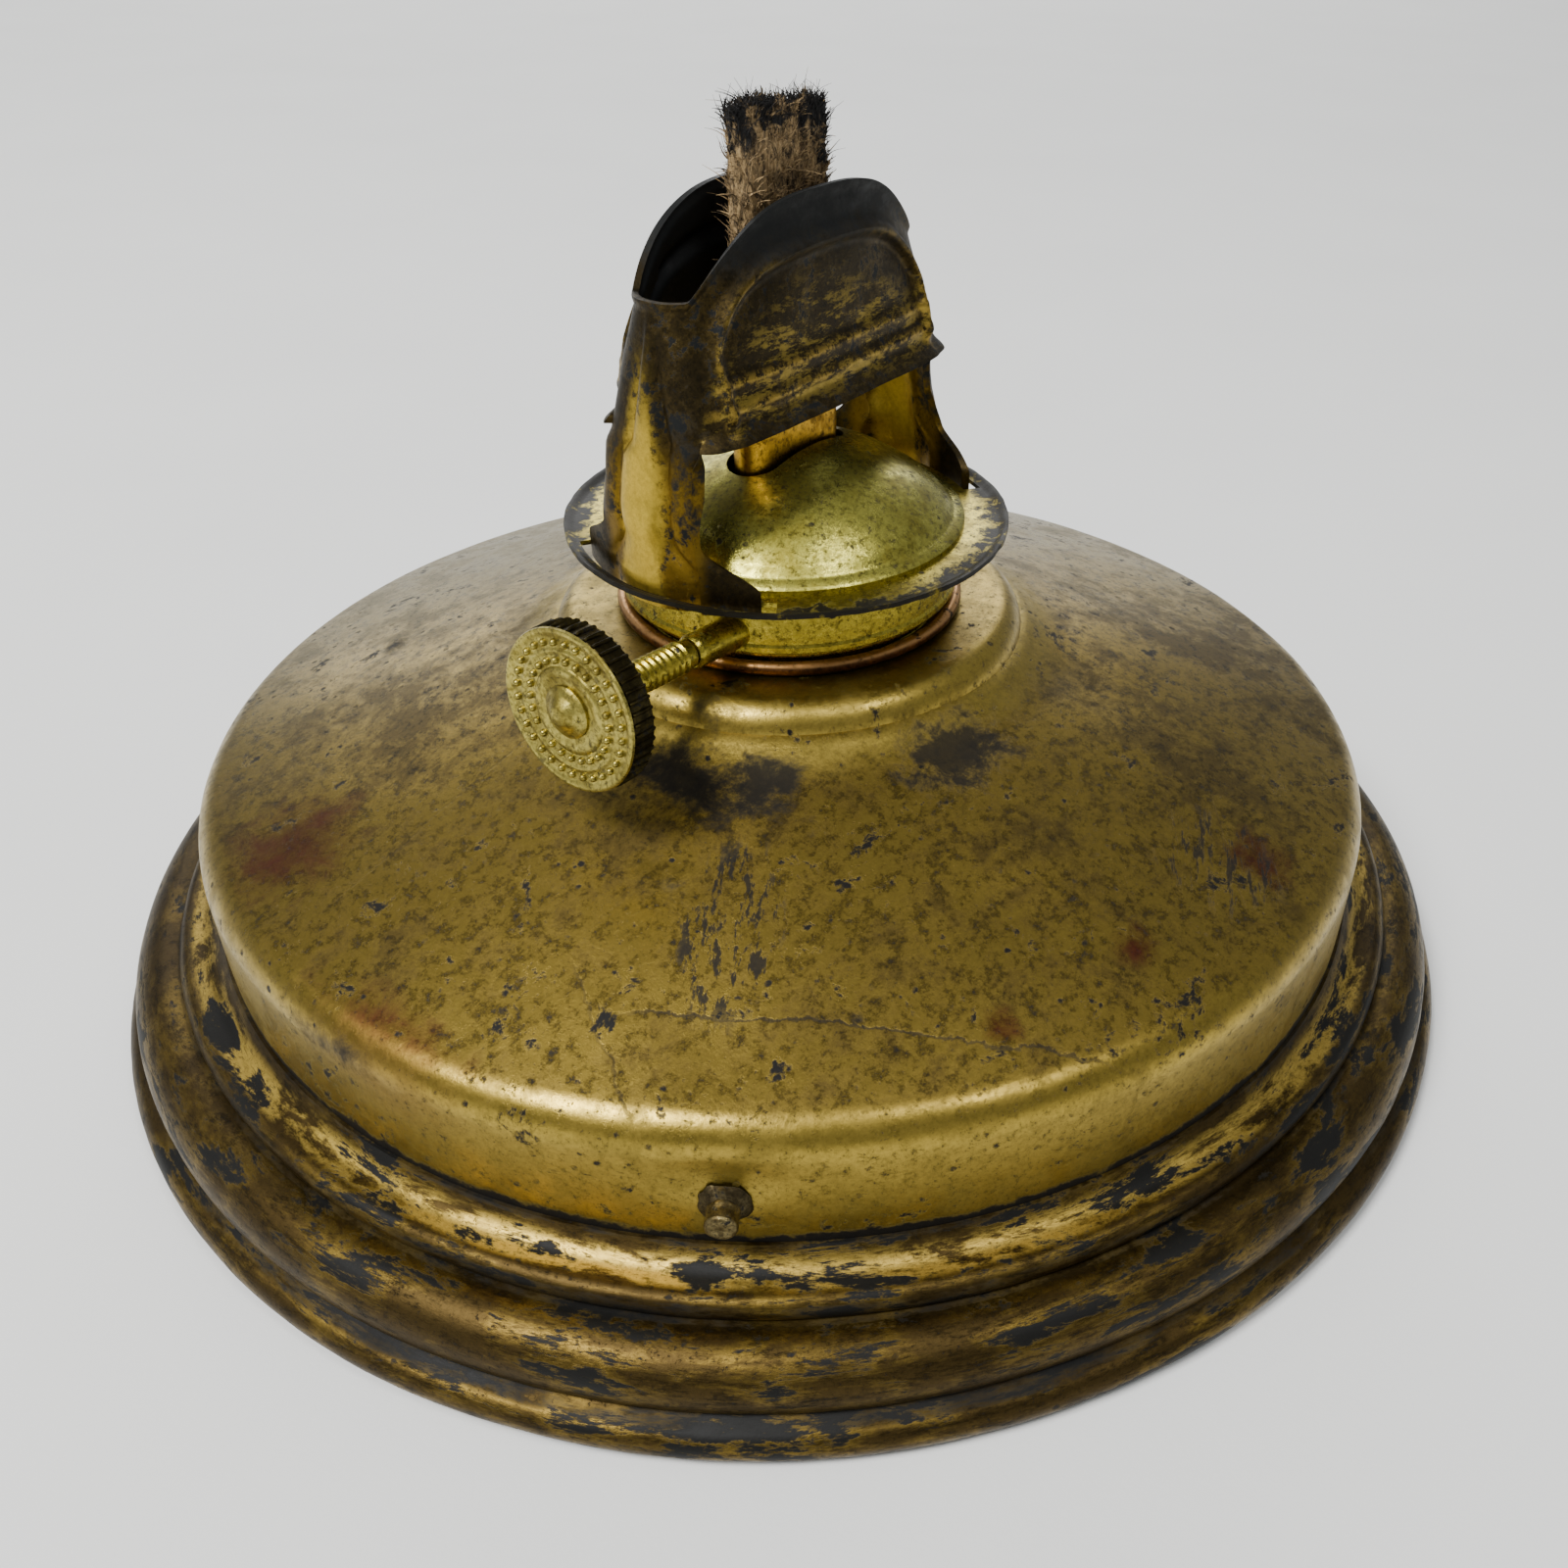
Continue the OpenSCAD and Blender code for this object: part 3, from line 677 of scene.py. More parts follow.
SHEET = 0.8
WALL_TOP = 24.2
SHOULDER = 4.0
BOSS_R = 28.2
NECK_R = 18.0
NECK_TOP = COLLAR_TOP - 1.5
DRUM_BOTTOM = bottom_of("font_top")
CONE = math.radians(18)
CREASE_STEPS = 6
DENTS = [(48, -118, 5, 0.30), (40, -160, 6, 0.22), (54, -95, 7, 0.25), (33, -72, 6, 0.3), (57, -150, 5, 0.2),
         (44, -30, 7, 0.3), (50, 40, 8, 0.3), (46, 120, 7, 0.25)]    # radius, angle, width, depth


def font_line(d):
    """Outline of the font's skin at a distance d inside its outer face."""
    c = (DRUM_R - SHOULDER, WALL_TOP)
    end = (c[0] + SHOULDER * math.sin(CONE), c[1] + SHOULDER * math.cos(CONE))
    boss_z = end[1] + (end[0] - BOSS_R) * math.tan(CONE)
    crease = [(BOSS_R + 3, boss_z - 3 * math.tan(CONE) - d), (BOSS_R - 0.2 * d, boss_z - d + 0.12),
              (BOSS_R - 1.7 - 0.4 * d, boss_z + 1.15 - 0.9 * d)]
    soft = [tuple((1 - t) ** 2 * a + 2 * t * (1 - t) * b + t * t * e for a, b, e in zip(*crease))
            for t in (i / CREASE_STEPS for i in range(CREASE_STEPS + 1))]
    return ([(DRUM_R - d, DRUM_BOTTOM)] + arc(c, SHOULDER - d, 0, 72, 14) + soft
            + arc((22.6, NECK_TOP - 2.9), 3.2 - d, 10, 85, 9) + [(NECK_R, NECK_TOP - d)])


def dented(x, y, z):
    """Old sheet metal: shallow dents, a gentle wave and a push in the wall above the front peg."""
    r, a = math.hypot(x, y), math.degrees(math.atan2(y, x))
    fade = smoothstep(r, 21, 26) * smoothstep(z, 14, 17)
    drop = 0.16 * wobble(x, y, z, 22, 3) + 0.05 * wobble(x, y, z, 8, 5)
    for radius, angle, width, depth in DENTS:
        t = math.radians(angle)
        drop -= depth * bell(math.hypot(x - radius * math.cos(t), y - radius * math.sin(t)), width)
    cone = 1 - smoothstep(r, DRUM_R - 3, DRUM_R - 0.5)
    push = 0.5 * bell(z - 22.5, 2.6) * bell((a + 147.5) * math.radians(DRUM_R), 5) * (1 - cone)
    wall = (0.12 * wobble(x, y, z, 14, 7) * (1 - cone)) * fade - push
    return x * (1 + wall / r), y * (1 + wall / r), z + drop * fade * cone


outline = dense(font_line(0), 0.9) + dense(font_line(SHEET), 3.5)[::-1]
fit(lathe("font_skin", outline, 360, shape=dented), "tarnished_brass", "font", "font_top")

ROLL = (FOOT_R - 2.0, 2.0)
BIG_ROLL = (FOOT_R - 5.8, 6.6)
BEAD = (FOOT_R - 8.8, 11.2)
FOOT_BORE = FOOT_R - 3.9
foot_outside = ([(FOOT_BORE, 0)] + arc(ROLL, 2.0, -90, 72, 16) + [(BIG_ROLL[0] + 3.3, 4.5)]
                + arc(BIG_ROLL, 3.9, -22, 106, 22) + arc(BEAD, 1.35, -38, 98, 12)
                + [(67.9, 12.65), (67.2, 13.0), (66.6, 13.55), (DRUM_R + 0.35, FOOT_TOP), (DRUM_R, FOOT_TOP)])
foot_inside = ([(FOOT_BORE, 3.4)] + arc(BIG_ROLL, 3.1, -35, 95, 12)
               + [(BEAD[0] + 0.6, BEAD[1] - 1.6), (BEAD[0] - 0.6, BEAD[1] + 0.4), (67, 12), (DRUM_R, 13.2)])


def knocked(x, y, z):
    """Small knocks and a slight wave on the rolls of the foot."""
    r = math.hypot(x, y)
    out = (0.14 * wobble(x, y, z, 18, 9) * smoothstep(r, 67, 70)
           - 0.07 * max(0, wobble(x, y, z, 3.2, 2)) * smoothstep(r, 69, 71))
    lift = 0.08 * wobble(x, y, z, 16, 4) * smoothstep(r, 67, 70) * smoothstep(z, 0.3, 2)
    return x * (1 + out / r), y * (1 + out / r), z + lift


fit(lathe("foot_moulding", dense(foot_outside, 0.7) + foot_inside[::-1], 400, shape=knocked),
    "moulding_brass", "font", "base_moulding")


# ---- pegs

FIRST_PEG = 212.5
PEG_Z = (top_of("bayonet_pegs") + bottom_of("bayonet_pegs")) / 2
PEG_TIP = DRUM_R + 2.8
pegs, blobs = [], []
for k in range(3):
    turn = math.radians(FIRST_PEG + 120 * k)
    place = (Matrix.Rotation(turn, 4, "Z") @ Matrix.Translation((0, 0, PEG_Z * MM))
             @ Matrix.Rotation(math.radians(90), 4, "Y"))
    body = steps_from(0, DRUM_R, (0, -1.5), (1.5, -1.5), (1.5, 1.1), (1.42, 1.3)) + [(1.46, PEG_TIP - 0.35)]
    body += arc((1.06, PEG_TIP - 0.4), 0.4, 5, 85, 5) + [(0.5, PEG_TIP - 0.05), (0, PEG_TIP - 0.1)]
    pegs.append(moved(lathe("peg", dense(body, 0.4), 40, False, lambda x, y, z: (
        x + 0.05 * wobble(x, y, z, 0.7, k), y, z + 0.06 * wobble(x, y, z, 0.9, k + 3))), place))
    blob = steps_from(0, DRUM_R, (1.2, -0.1), (2.35, -0.1), (2.2, 0.3), (1.85, 0.55), (1.5, 0.8), (1.2, 0.8))
    blobs.append(moved(lathe("solder", dense(blob, 0.25), 40, True, lambda x, y, z: (
        x * (1 + 0.16 * wobble(x, y, z, 1.1, k)), y * (1 + 0.16 * wobble(x, y, z, 1.1, k)),
        z + 0.12 * wobble(x, y, z, 0.8, k + 7))), place))
fit(joined("bayonet_peg_set", pegs), "peg_metal", "font", "bayonet_pegs")
fit(joined("peg_solder", blobs), "solder", "font", "peg_washers")


# ---- collar and burner shell

BORE = 16.9
rim = arc((NECK_R + 0.15, NECK_TOP + 0.75), 0.75, -90, 180, 22)
collar = dense([(BORE, COLLAR_BOTTOM), (NECK_R, COLLAR_BOTTOM), (NECK_R, NECK_TOP)], 1.5)
fit(lathe("screw_collar", collar + rim + [(BORE, NECK_TOP + 0.75)], 288,
          shape=lambda x, y, z: (x, y, z + 0.05 * wobble(x, y, z, 5, 1) * smoothstep(z, 43.5, 44.2))),
    "coppery_brass", "font", "collar")

THREAD_PITCH = 0.95
threads = []
z = THIMBLE_LOW + 0.4
while z < THIMBLE_TOP - 1.4:
    threads += steps_from(THIMBLE_R, z, (0, 0), (-0.08, 0.2), (-0.34, 0.42), (-0.34, 0.58), (-0.08, 0.8))
    z += THREAD_PITCH
thimble = ([(THIMBLE_R - 0.3, THIMBLE_LOW)] + threads
           + steps_from(THIMBLE_R, THIMBLE_TOP, (0, -0.6), (0.8, -0.6), (THIMBLE_LIP, -0.45),
                        (THIMBLE_LIP, -0.15), (0.75, 0), (-0.6, 0)) + [(THIMBLE_R - 0.6, THIMBLE_LOW)])
fit(lathe("screw_thimble", thimble, 240), "burner_brass", "thimble", "burner_thimble")

spindle_frame = (Matrix.Translation(SPINDLE_START)
                 @ Matrix.Rotation(math.atan2(SPINDLE_AXIS.x, SPINDLE_AXIS.z), 4, "Y"))


def on_spindle(obj):
    """Puts a piece drawn along +Z onto the spindle, with z counted outwards from the wick."""
    return moved(obj, spindle_frame)


def rod(r, start, end, n=48):
    return on_spindle(lathe("cutter", [(0, start), (r, start), (r, end), (0, end)], n, False))


ring = (steps_from(RING_R, RING_LOW, (-0.15, 0), (0, 0.15), (0, 0.7), (-0.22, 1.0))
        + steps_from(RING_R, PLATE_Z, (-0.22, -1.0), (-0.05, -0.5), (0, 0), (-0.6, 0))
        + [(RING_R - 0.75, RING_LOW + 0.6), (THIMBLE_R - 0.6, RING_LOW + 0.6), (THIMBLE_R - 0.6, RING_LOW)])
fit(cut(lathe("ring_shell", dense(ring, 0.6), 240, shape=lambda x, y, z: (
    x * (1 + 0.004 * wobble(x, y, z, 5, 2)), y * (1 + 0.004 * wobble(x, y, z, 5, 2)), z)),
    rod(1.74, 14, 22)), "burner_brass", "burner", "burner_ring")

PLATE_T = 0.5
SLOT_R, SLOT_HALF, SLOT_ANGLE = 21.35, 1.0, 35
plate_rs = [15.0, 15.8, 16.6, 17.4, 18.2, 18.8, 19.4, 19.9, 20.1, 20.2, 20.35, 20.6, 21.0, SLOT_R, 21.7, 22.1,
            22.35, 22.45, 22.6, 22.8, 23.0, 23.15, 23.3, 23.45, PLATE_R - 0.06, PLATE_R]


def plate_point(k, j, under):
    t, r = math.radians(k), plate_rs[j]
    x, y = r * math.cos(t), r * math.sin(t)
    h = (PLATE_Z + 0.42 * smoothstep(r, PLATE_R - 1.2, PLATE_R - 0.2)
         + 0.12 * wobble(x, y, 0, 7, 6) * smoothstep(r, 18, 21))
    out = 1 + 0.1 * wobble(x, y, 0, 1.6, 4) / r * smoothstep(r, 23.3, 23.6)
    return x * out, y * out, h + (0 if under else PLATE_T)


def plate_cell(k, j):
    """False where a curved slot for a leg of the hood is open."""
    middle = (plate_rs[j] + plate_rs[j + 1]) / 2
    turn = (k + 0.5) % 180
    return not (abs(middle - SLOT_R) < SLOT_HALF and min(turn, 180 - turn) < SLOT_ANGLE)


plate = [[(plate_point(k, j, False), plate_point(k, j, True)) for j in range(len(plate_rs))]
         for k in range(360)]
fit(sheet("gallery_disc", plate, plate_cell), "burner_brass", "burner", "gallery_plate")

DOME_EDGE_R, DOME_EDGE_Z, DOME_T, SLOT_GAP = 17.0, 54.3, 0.5, 0.8
BALL = (DOME_EDGE_R ** 2 + (DOME_TOP - DOME_EDGE_Z) ** 2) / (2 * (DOME_TOP - DOME_EDGE_Z))
EDGE = math.degrees(math.acos(DOME_EDGE_R / BALL))


def dome_line(d):
    """Outline of the draft cap at a distance d inside its outer face."""
    side = [(DOME_R - d, PLATE_Z + PLATE_T), (DOME_R - d, 52.75), (DOME_R - 0.25 - d, 53.05),
            (DOME_R - 1.1 - d, 53.3), (DOME_R - 1.5 - d, 53.6)]
    return side + arc((0, DOME_TOP - BALL), BALL - d, EDGE, 89.6, 40)


def dome_shape(x, y, z):
    drop = 0.12 * wobble(x, y, z, 7, 8) + 0.5 * bell(math.hypot(x - 12, y + 9), 2.6)
    return x, y, z - drop * smoothstep(z, 53.4, 55)


dome = lathe("draft_cap", dome_line(0) + dome_line(DOME_T)[::-1], 240, shape=dome_shape)
slot_loops = [obround(TUBE_HALF_L + SLOT_GAP, TUBE_HALF_W + SLOT_GAP, z) for z in (50, 66)]
slot = capped(loft("cutter", slot_loops, closed=False))
fit(cut(dome, slot), "dome_brass", "burner", "draft_dome")


# ---- wick tube, spindle and knob

TUBE_LOW, TUBE_TOP, TUBE_WALL = bottom_of("wick_tube"), top_of("wick_tube"), 0.4
outer = [(0, z) for z in (TUBE_LOW, 38, 42, 46, 50, 54, 58, 62, 66, 70, 74, TUBE_TOP - 0.5)]
outer += [(0.02, TUBE_TOP - 0.15), (0.12, TUBE_TOP)]
inner = [(TUBE_WALL - 0.1, TUBE_TOP)] + [(TUBE_WALL, z) for z in (TUBE_TOP - 0.15, 66, 50, TUBE_LOW)]
tube = loft("wick_guide", [obround(TUBE_HALF_L - d, TUBE_HALF_W - d, z, 20) for d, z in outer + inner],
            shape=lambda x, y, z: (x, y * (1 + 0.01 * wobble(x, 0, z, 9, 2)), z))


def block(low, high):
    """A box-shaped cutter between two corners."""
    bpy.ops.mesh.primitive_cube_add(size=1)
    obj = bpy.context.object
    low, high = Vector(low) * MM, Vector(high) * MM
    obj.data.transform(Matrix.Translation((low + high) / 2) @ Matrix.Diagonal((*(high - low), 1)))
    return obj


for side in (-3.5, 3.5):
    cut(tube, block((side - 0.9, -TUBE_HALF_W - 1, 42.7), (side + 0.9, -0.6, 49.1)))
fit(tube, "tube_brass", "burner", "wick_tube")

bush = [(0.98, 15.4), (1.75, 15.4), (1.75, 22.9), (1.68, 23.2), (1.5, 23.5), (0.98, 23.5)]
fit(on_spindle(lathe("bush", dense(bush, 0.6), 56)), "burner_brass", "burner", "spindle_bush")

RIBS, RIB_PITCH = 13, 0.82
sleeve = [(0.9, 23.8), (1.45, 23.8)]
for k in range(1, RIBS + 1):
    sleeve += steps_from(0, 23.9 + RIB_PITCH * k, (1.42, 0), (1.5, 0.08), (1.64, 0.2), (1.66, 0.3),
                         (1.64, 0.4), (1.5, 0.52), (1.42, 0.6))
sleeve += [(1.45, 36.5), (0.9, 36.5)]
fit(on_spindle(lathe("ribbed_sleeve", sleeve, 56)), "burner_brass", "raiser", "spindle_sleeve")


# ---- knob

KNOB_FRONT = 39.6
KNOB_R = 7.9
BAND_T = 2.6
FACE_T = 0.5
BAND_END = KNOB_FRONT - FACE_T
BAND_START = BAND_END - BAND_T


def node_tree(name, inputs, nodes, links, settings):
    """A Geometry Nodes tree. inputs and nodes give the type of each name, a link is written
    "node.output > node.input", and settings holds the values of some nodes."""
    tree = bpy.data.node_groups.new(name, "GeometryNodeTree")
    for label, kind in inputs.items():
        tree.interface.new_socket(label, in_out="INPUT", socket_type="NodeSocket" + kind)
    tree.interface.new_socket("Geometry", in_out="OUTPUT", socket_type="NodeSocketGeometry")
    made = {"enter": tree.nodes.new("NodeGroupInput"), "leave": tree.nodes.new("NodeGroupOutput")}
    made.update({label: tree.nodes.new(kind) for label, kind in nodes.items()})
    for label, values in settings.items():
        for key, value in values.items():
            setattr(made[label], key, value)
    for link in links:
        (a, out), (b, into) = (end.split(".") for end in link.split(" > "))
        out = int(out) if out.isdigit() else out
        into = int(into) if into.isdigit() else into
        tree.links.new(made[a].outputs[out], made[b].inputs[into])
    return tree, made


def run_tree(name, mesh, tree, values):
    """A mesh put through a tree whose named inputs are set, as one plain mesh."""
    obj = linked(name, mesh)
    mod = obj.modifiers.new("shape", "NODES")
    mod.node_group = tree
    for item in tree.interface.items_tree:
        if item.in_out == "INPUT" and item.name in values:
            mod[item.identifier] = values[item.name]
    return baked(obj)


def repeated(name, count, radius, shape, height, slot):
    """Copies of a small shape set evenly round a circle, each turned to face outwards."""
    tree, made = node_tree(
        name, {"Shape": "Object", "Count": "Int", "Radius": "Float"},
        {"circle": "GeometryNodeMeshCircle", "spread": "GeometryNodeInstanceOnPoints",
         "info": "GeometryNodeObjectInfo", "real": "GeometryNodeRealizeInstances",
         "paint": "GeometryNodeSetMaterial", "place": "GeometryNodeInputPosition",
         "turn": "FunctionNodeAlignRotationToVector", "lift": "GeometryNodeTransform"},
        ("enter.Shape > info.Object", "enter.Count > circle.Vertices", "enter.Radius > circle.Radius",
         "circle.Mesh > spread.Points", "info.Geometry > spread.Instance", "place.Position > turn.Vector",
         "turn.Rotation > spread.Rotation", "spread.Instances > real.Geometry",
         "real.Geometry > lift.Geometry", "lift.Geometry > paint.Geometry", "paint.Geometry > leave.Geometry"),
        {"turn": {"axis": "X", "pivot_axis": "Z"}})
    made["lift"].inputs["Translation"].default_value = (0, 0, height * MM)
    made["paint"].inputs["Material"].default_value = MATERIALS[slot]
    values = {"Shape": shape, "Count": count, "Radius": radius * MM}
    return run_tree(name, bpy.data.meshes.new(name), tree, values)


def bump_shape(r, h, n=12):
    """A small rounded dot, standing on z = 0."""
    line = [(r, -0.05), (r * 0.95, h * 0.35), (r * 0.75, h * 0.75), (r * 0.4, h * 0.96), (0.01, h)]
    return lathe("dot", line, n, False)


# Face: a raised border, two rings of dots, a groove and a raised middle
face = ([(0.9, BAND_END)]
        + steps_from(KNOB_R, KNOB_FRONT, (-0.3, -FACE_T), (-0.12, -0.3), (-0.2, -0.08), (-0.42, 0),
                     (-0.8, -0.1), (-1.0, -0.2), (-2.0, -0.22), (-2.15, -0.12), (-2.4, -0.12), (-2.6, -0.24),
                     (-3.7, -0.22), (-3.9, -0.06), (-4.3, 0), (-4.6, -0.05), (-4.9, -0.12))
        + [(0.9, KNOB_FRONT - 0.1)])
dot = bump_shape(0.36, 0.42)
parts = [lathe("face", dense(face, 0.25), 160),
         repeated("outer_dots", 30, KNOB_R - 1.5, dot, KNOB_FRONT - 0.22, "knob_brass"),
         repeated("inner_dots", 24, KNOB_R - 3.15, dot, KNOB_FRONT - 0.22, "knob_brass")]
fit(on_spindle(joined("knob_disc", parts)), "knob_brass", "raiser", "knob_face")
bpy.data.objects.remove(dot)

# Band: ribs set round a plain ring
rib_line = [(0, -0.19), (0.26, -0.13), (0.38, 0.0), (0.26, 0.13), (0, 0.19)]
rib_end = [(0.1, 0.55), (0.35, 0.9), (0.8, 1.0)]
rib_rows = rib_end + [(BAND_T - z, k) for z, k in rib_end[::-1]]
rib = capped(loft("rib", [[(x * k - 0.02, y, z) for x, y in rib_line] for z, k in rib_rows], closed=False))
band = (steps_from(KNOB_R, BAND_START, (-0.9, 0), (-0.5, 0), (-0.34, 0.15))
        + steps_from(KNOB_R, BAND_END, (-0.34, -0.15), (-0.5, 0), (-0.9, 0)))
parts = [lathe("band", dense(band, 0.4), 160),
         repeated("ribs", 48, KNOB_R - 0.36, rib, BAND_START, "knob_band_brass")]
fit(on_spindle(joined("knob_milled_band", parts)), "knob_band_brass", "raiser", "knob_band")
bpy.data.objects.remove(rib)

back = steps_from(0, BAND_START, (1.45, 0), (KNOB_R - 0.9, 0), (KNOB_R - 0.9, 0.4), (1.45, 0.4))
fit(on_spindle(lathe("knob_back_disc", dense(back, 0.6), 96)), "knob_brass", "raiser", "knob_back")
rivet = steps_from(0, KNOB_FRONT, (0, -0.1), (2.5, -0.1), (2.5, 0.12), (2.3, 0.3), (1.75, 0.55), (1.25, 0.95),
               (0.85, 1.22), (0.4, 1.3), (0, 1.28))
fit(on_spindle(lathe("rivet_head", dense(rivet, 0.2), 64, False)), "knob_brass", "raiser", "knob_rivet")


# ---- hood

HALF_L, HALF_W, HOOD_LOW, MOUTH_DIP = 20.0, 7.4, 66.6, 78.8
LEG_HALF_W, HOOD_T = 5.8, 0.6
FLARE_TOP, FLARE_LOW, FOOT_HALF_W = 57.6, 54.0, 11.6
MOUTH_L, MOUTH_W, CREST_POWER = 17.6, 4.7, 3


def part_way(z, low, high):
    return max(0.0, min(1.0, (z - low) / (high - low)))


def hood_a(z):
    """Half the hood's length at a height."""
    if z < HOOD_LOW:
        return SLOT_R + (HALF_L - SLOT_R) * part_way(z, FLARE_TOP, HOOD_LOW)
    return HALF_L - (HALF_L - MOUTH_L) * part_way(z, HOOD_LOW, HOOD_TOP) ** 1.15


def hood_b(z):
    """Half the hood's width at a height."""
    return HALF_W - (HALF_W - MOUTH_W) * part_way(z, HOOD_LOW, HOOD_TOP) ** 0.8


def squareness(z):
    """Power of the hood's outline: nearly square below, and rounder at the mouth."""
    return 5.6 - 3.1 * part_way(z, HOOD_LOW, MOUTH_DIP)


def leg_w(z):
    spread = 1 - smoothstep(z, FLARE_LOW - 0.4, FLARE_TOP)
    wide = LEG_HALF_W + 0.7 * smoothstep(HOOD_LOW - z, 0, 2)
    return wide + (FOOT_HALF_W - wide) * spread


def mouth_z(x):
    return HOOD_TOP - (HOOD_TOP - MOUTH_DIP) * min(1, abs(x) / (0.96 * MOUTH_L)) ** CREST_POWER


def channel(q, z):
    """Height of the pressed rib up the middle of a leg, which narrows to a point near the top."""
    share = 0.10 + 0.34 * (1 - smoothstep(z, 60, 79))
    rise = max(0.0, 1 - (abs(q) / share) ** 2.6)
    groove = 0.25 * bell(abs(q) - share - 0.05, 0.06) * (1 - smoothstep(z, 66, 76))
    return 0.95 * rise * (1 - smoothstep(z, 70, 79)) - groove


def leg_point(q, z, d):
    a, b, n = hood_a(z) - d, hood_b(z) - d, squareness(z)
    y = q * leg_w(z) * (b / (b + d)) if z < HOOD_LOW else q * LEG_HALF_W / HALF_W * b
    square_x = a * max(0.0, 1 - min(1, abs(y) / b) ** n) ** (1 / n)
    round_x = math.sqrt((SLOT_R - d) ** 2 - y * y)
    if z < FLARE_TOP:
        x = round_x
    else:
        x = square_x + (round_x - square_x) * (1 - part_way(z, FLARE_TOP, FLARE_TOP + 4)) * (z < HOOD_LOW)
    return x + channel(q, z), y, z


def panel_relief(x, z):
    """Height of the border pressed into a panel, with two ribs across its foot."""
    wide = max(0.0, 1 - (abs(x) / PANEL_HALF_L) ** 3)
    top = PANEL_SIDE_TOP + PANEL_ARCH * wide ** 0.5
    inside = min(PANEL_HALF_L - abs(x), (top - z) * (0.55 + 0.45 * wide))
    border = 0.85 * bell(inside - 0.7, 0.7) - 0.3 * smoothstep(inside, 1.2, 2.2)
    across = smoothstep(inside, 0.2, 1.4)
    ribs = 0.5 * bell(z - 71.6, 0.6) + 0.42 * bell(z - 69.4, 0.6) + 0.22 * smoothstep(z, 71.4, 70.8)
    return (border * smoothstep(z, 67.4, 69.4) + across * ribs) * smoothstep(18.2 - abs(x), 0, 0.9)


def lip(z):
    """How far the lower edge of a panel is turned out."""
    return 0.8 * (1 - smoothstep(z, HOOD_LOW, HOOD_LOW + 1.8)) ** 1.5


def panel_point(q, z, d):
    a, b, n = hood_a(z) - d, hood_b(z) - d, squareness(z)
    x = -q * a * (1 - (LEG_HALF_W / HALF_W) ** n) ** (1 / n)
    out = math.copysign(lip(z) * smoothstep(abs(x), 14, 18.5), x)
    flat = b * (1 - (abs(x) / a) ** n) ** (1 / n)
    return x + out, flat + panel_relief(x, z) + lip(z) * (1 - abs(q) ** 30), z


LEG_STEPS, PANEL_STEPS, LEG_ROWS, CAP_ROWS = 40, 110, 60, 70
hood_columns = [(kind, -1 + 2 * i / n, side) for side in (1, -1)
                for kind, n in (("leg", LEG_STEPS), ("panel", PANEL_STEPS)) for i in range(n)]


def hood_point(column, j, d):
    """A point of the hood's sheet, d inside its outer face, with the legs bent a little to one side."""
    kind, q, side = column
    point = leg_point if kind == "leg" else panel_point
    top = mouth_z(point(q, MOUTH_DIP, 0)[0])
    if j < LEG_ROWS:
        z = HOOD_BOTTOM + (HOOD_LOW - HOOD_BOTTOM) * j / LEG_ROWS
    else:
        z = HOOD_LOW + (top - HOOD_LOW) * (j - LEG_ROWS) / CAP_ROWS
    x, y, z = point(q, z, d)
    curl = 0.35 * smoothstep(z, top - 1.1, top)
    wider = 2.1 * max(0.0, q) if kind == "leg" and side == 1 else 0.0
    aside = 0.8 * smoothstep(HOOD_LOW - z, 0, 2) + wider * smoothstep(HOOD_LOW - z, 0, 0.8)
    x, y = side * x, side * y + aside * smoothstep(z, 55, 60)
    r = math.hypot(x, y)
    push = 0.16 * wobble(x, y, z, 9, 6) + 0.06 * wobble(x, y, z, 3.5, 9) + curl
    outwards = (1 if y > 0 else -1) * min(1, abs(y) / 3)
    return x + push * x / r * (z > FLARE_LOW), y + push * outwards * (z > FLARE_LOW), z


hood = [[(hood_point(c, j, 0), hood_point(c, j, HOOD_T)) for j in range(LEG_ROWS + CAP_ROWS + 1)]
        for c in hood_columns]
fit(sheet("burner_hood", hood, lambda i, j: j >= LEG_ROWS or hood_columns[i][0] == "leg"),
    "scorched_brass", "hood", "hood")


# ---- wick

def ragged(x, y, z):
    """Wick end: charred away unevenly, a little lower at the far edge."""
    top = WICK_TOP - 2.4 + 1.2 * wobble(x, y, 0, 2.6, 3) + 0.5 * wobble(x, y, 0, 0.9, 5)
    top -= 0.13 * x
    z = min(z, top) if z > WICK_TOP - 5 else z
    swell = 1 + 0.04 * smoothstep(z, 80, 88)
    weave = 0.06 * math.sin(x * 7.5) * smoothstep(z, 77, 80)
    fray = 0.14 * wobble(x, y, z, 1.3, 4) * smoothstep(z, 77, 82)
    face = (1 if y > 0 else -1) * smoothstep(abs(y), 0.3, 1.2)
    return x + fray * (1 if abs(x) > 5 else 0), y * swell + (weave + fray) * face, z


WICK_SIDE, WICK_END = 70, 14      # points along a face and round an end


def wick_loop(z, k=1):
    """Closed loop of the wick's outline at a height, drawn in to k times its size."""
    flat = WICK_HALF_L - WICK_HALF_W
    side = [(-flat + 2 * flat * i / WICK_SIDE, -WICK_HALF_W, z) for i in range(WICK_SIDE)]
    turns = (math.radians(-90 + 180 * i / WICK_END) for i in range(WICK_END))
    end = [(flat + WICK_HALF_W * math.cos(t), WICK_HALF_W * math.sin(t), z) for t in turns]
    return [(x * k, y * k, z) for x, y, z in side + end + [(-x, -y, z) for x, y, z in side + end]]


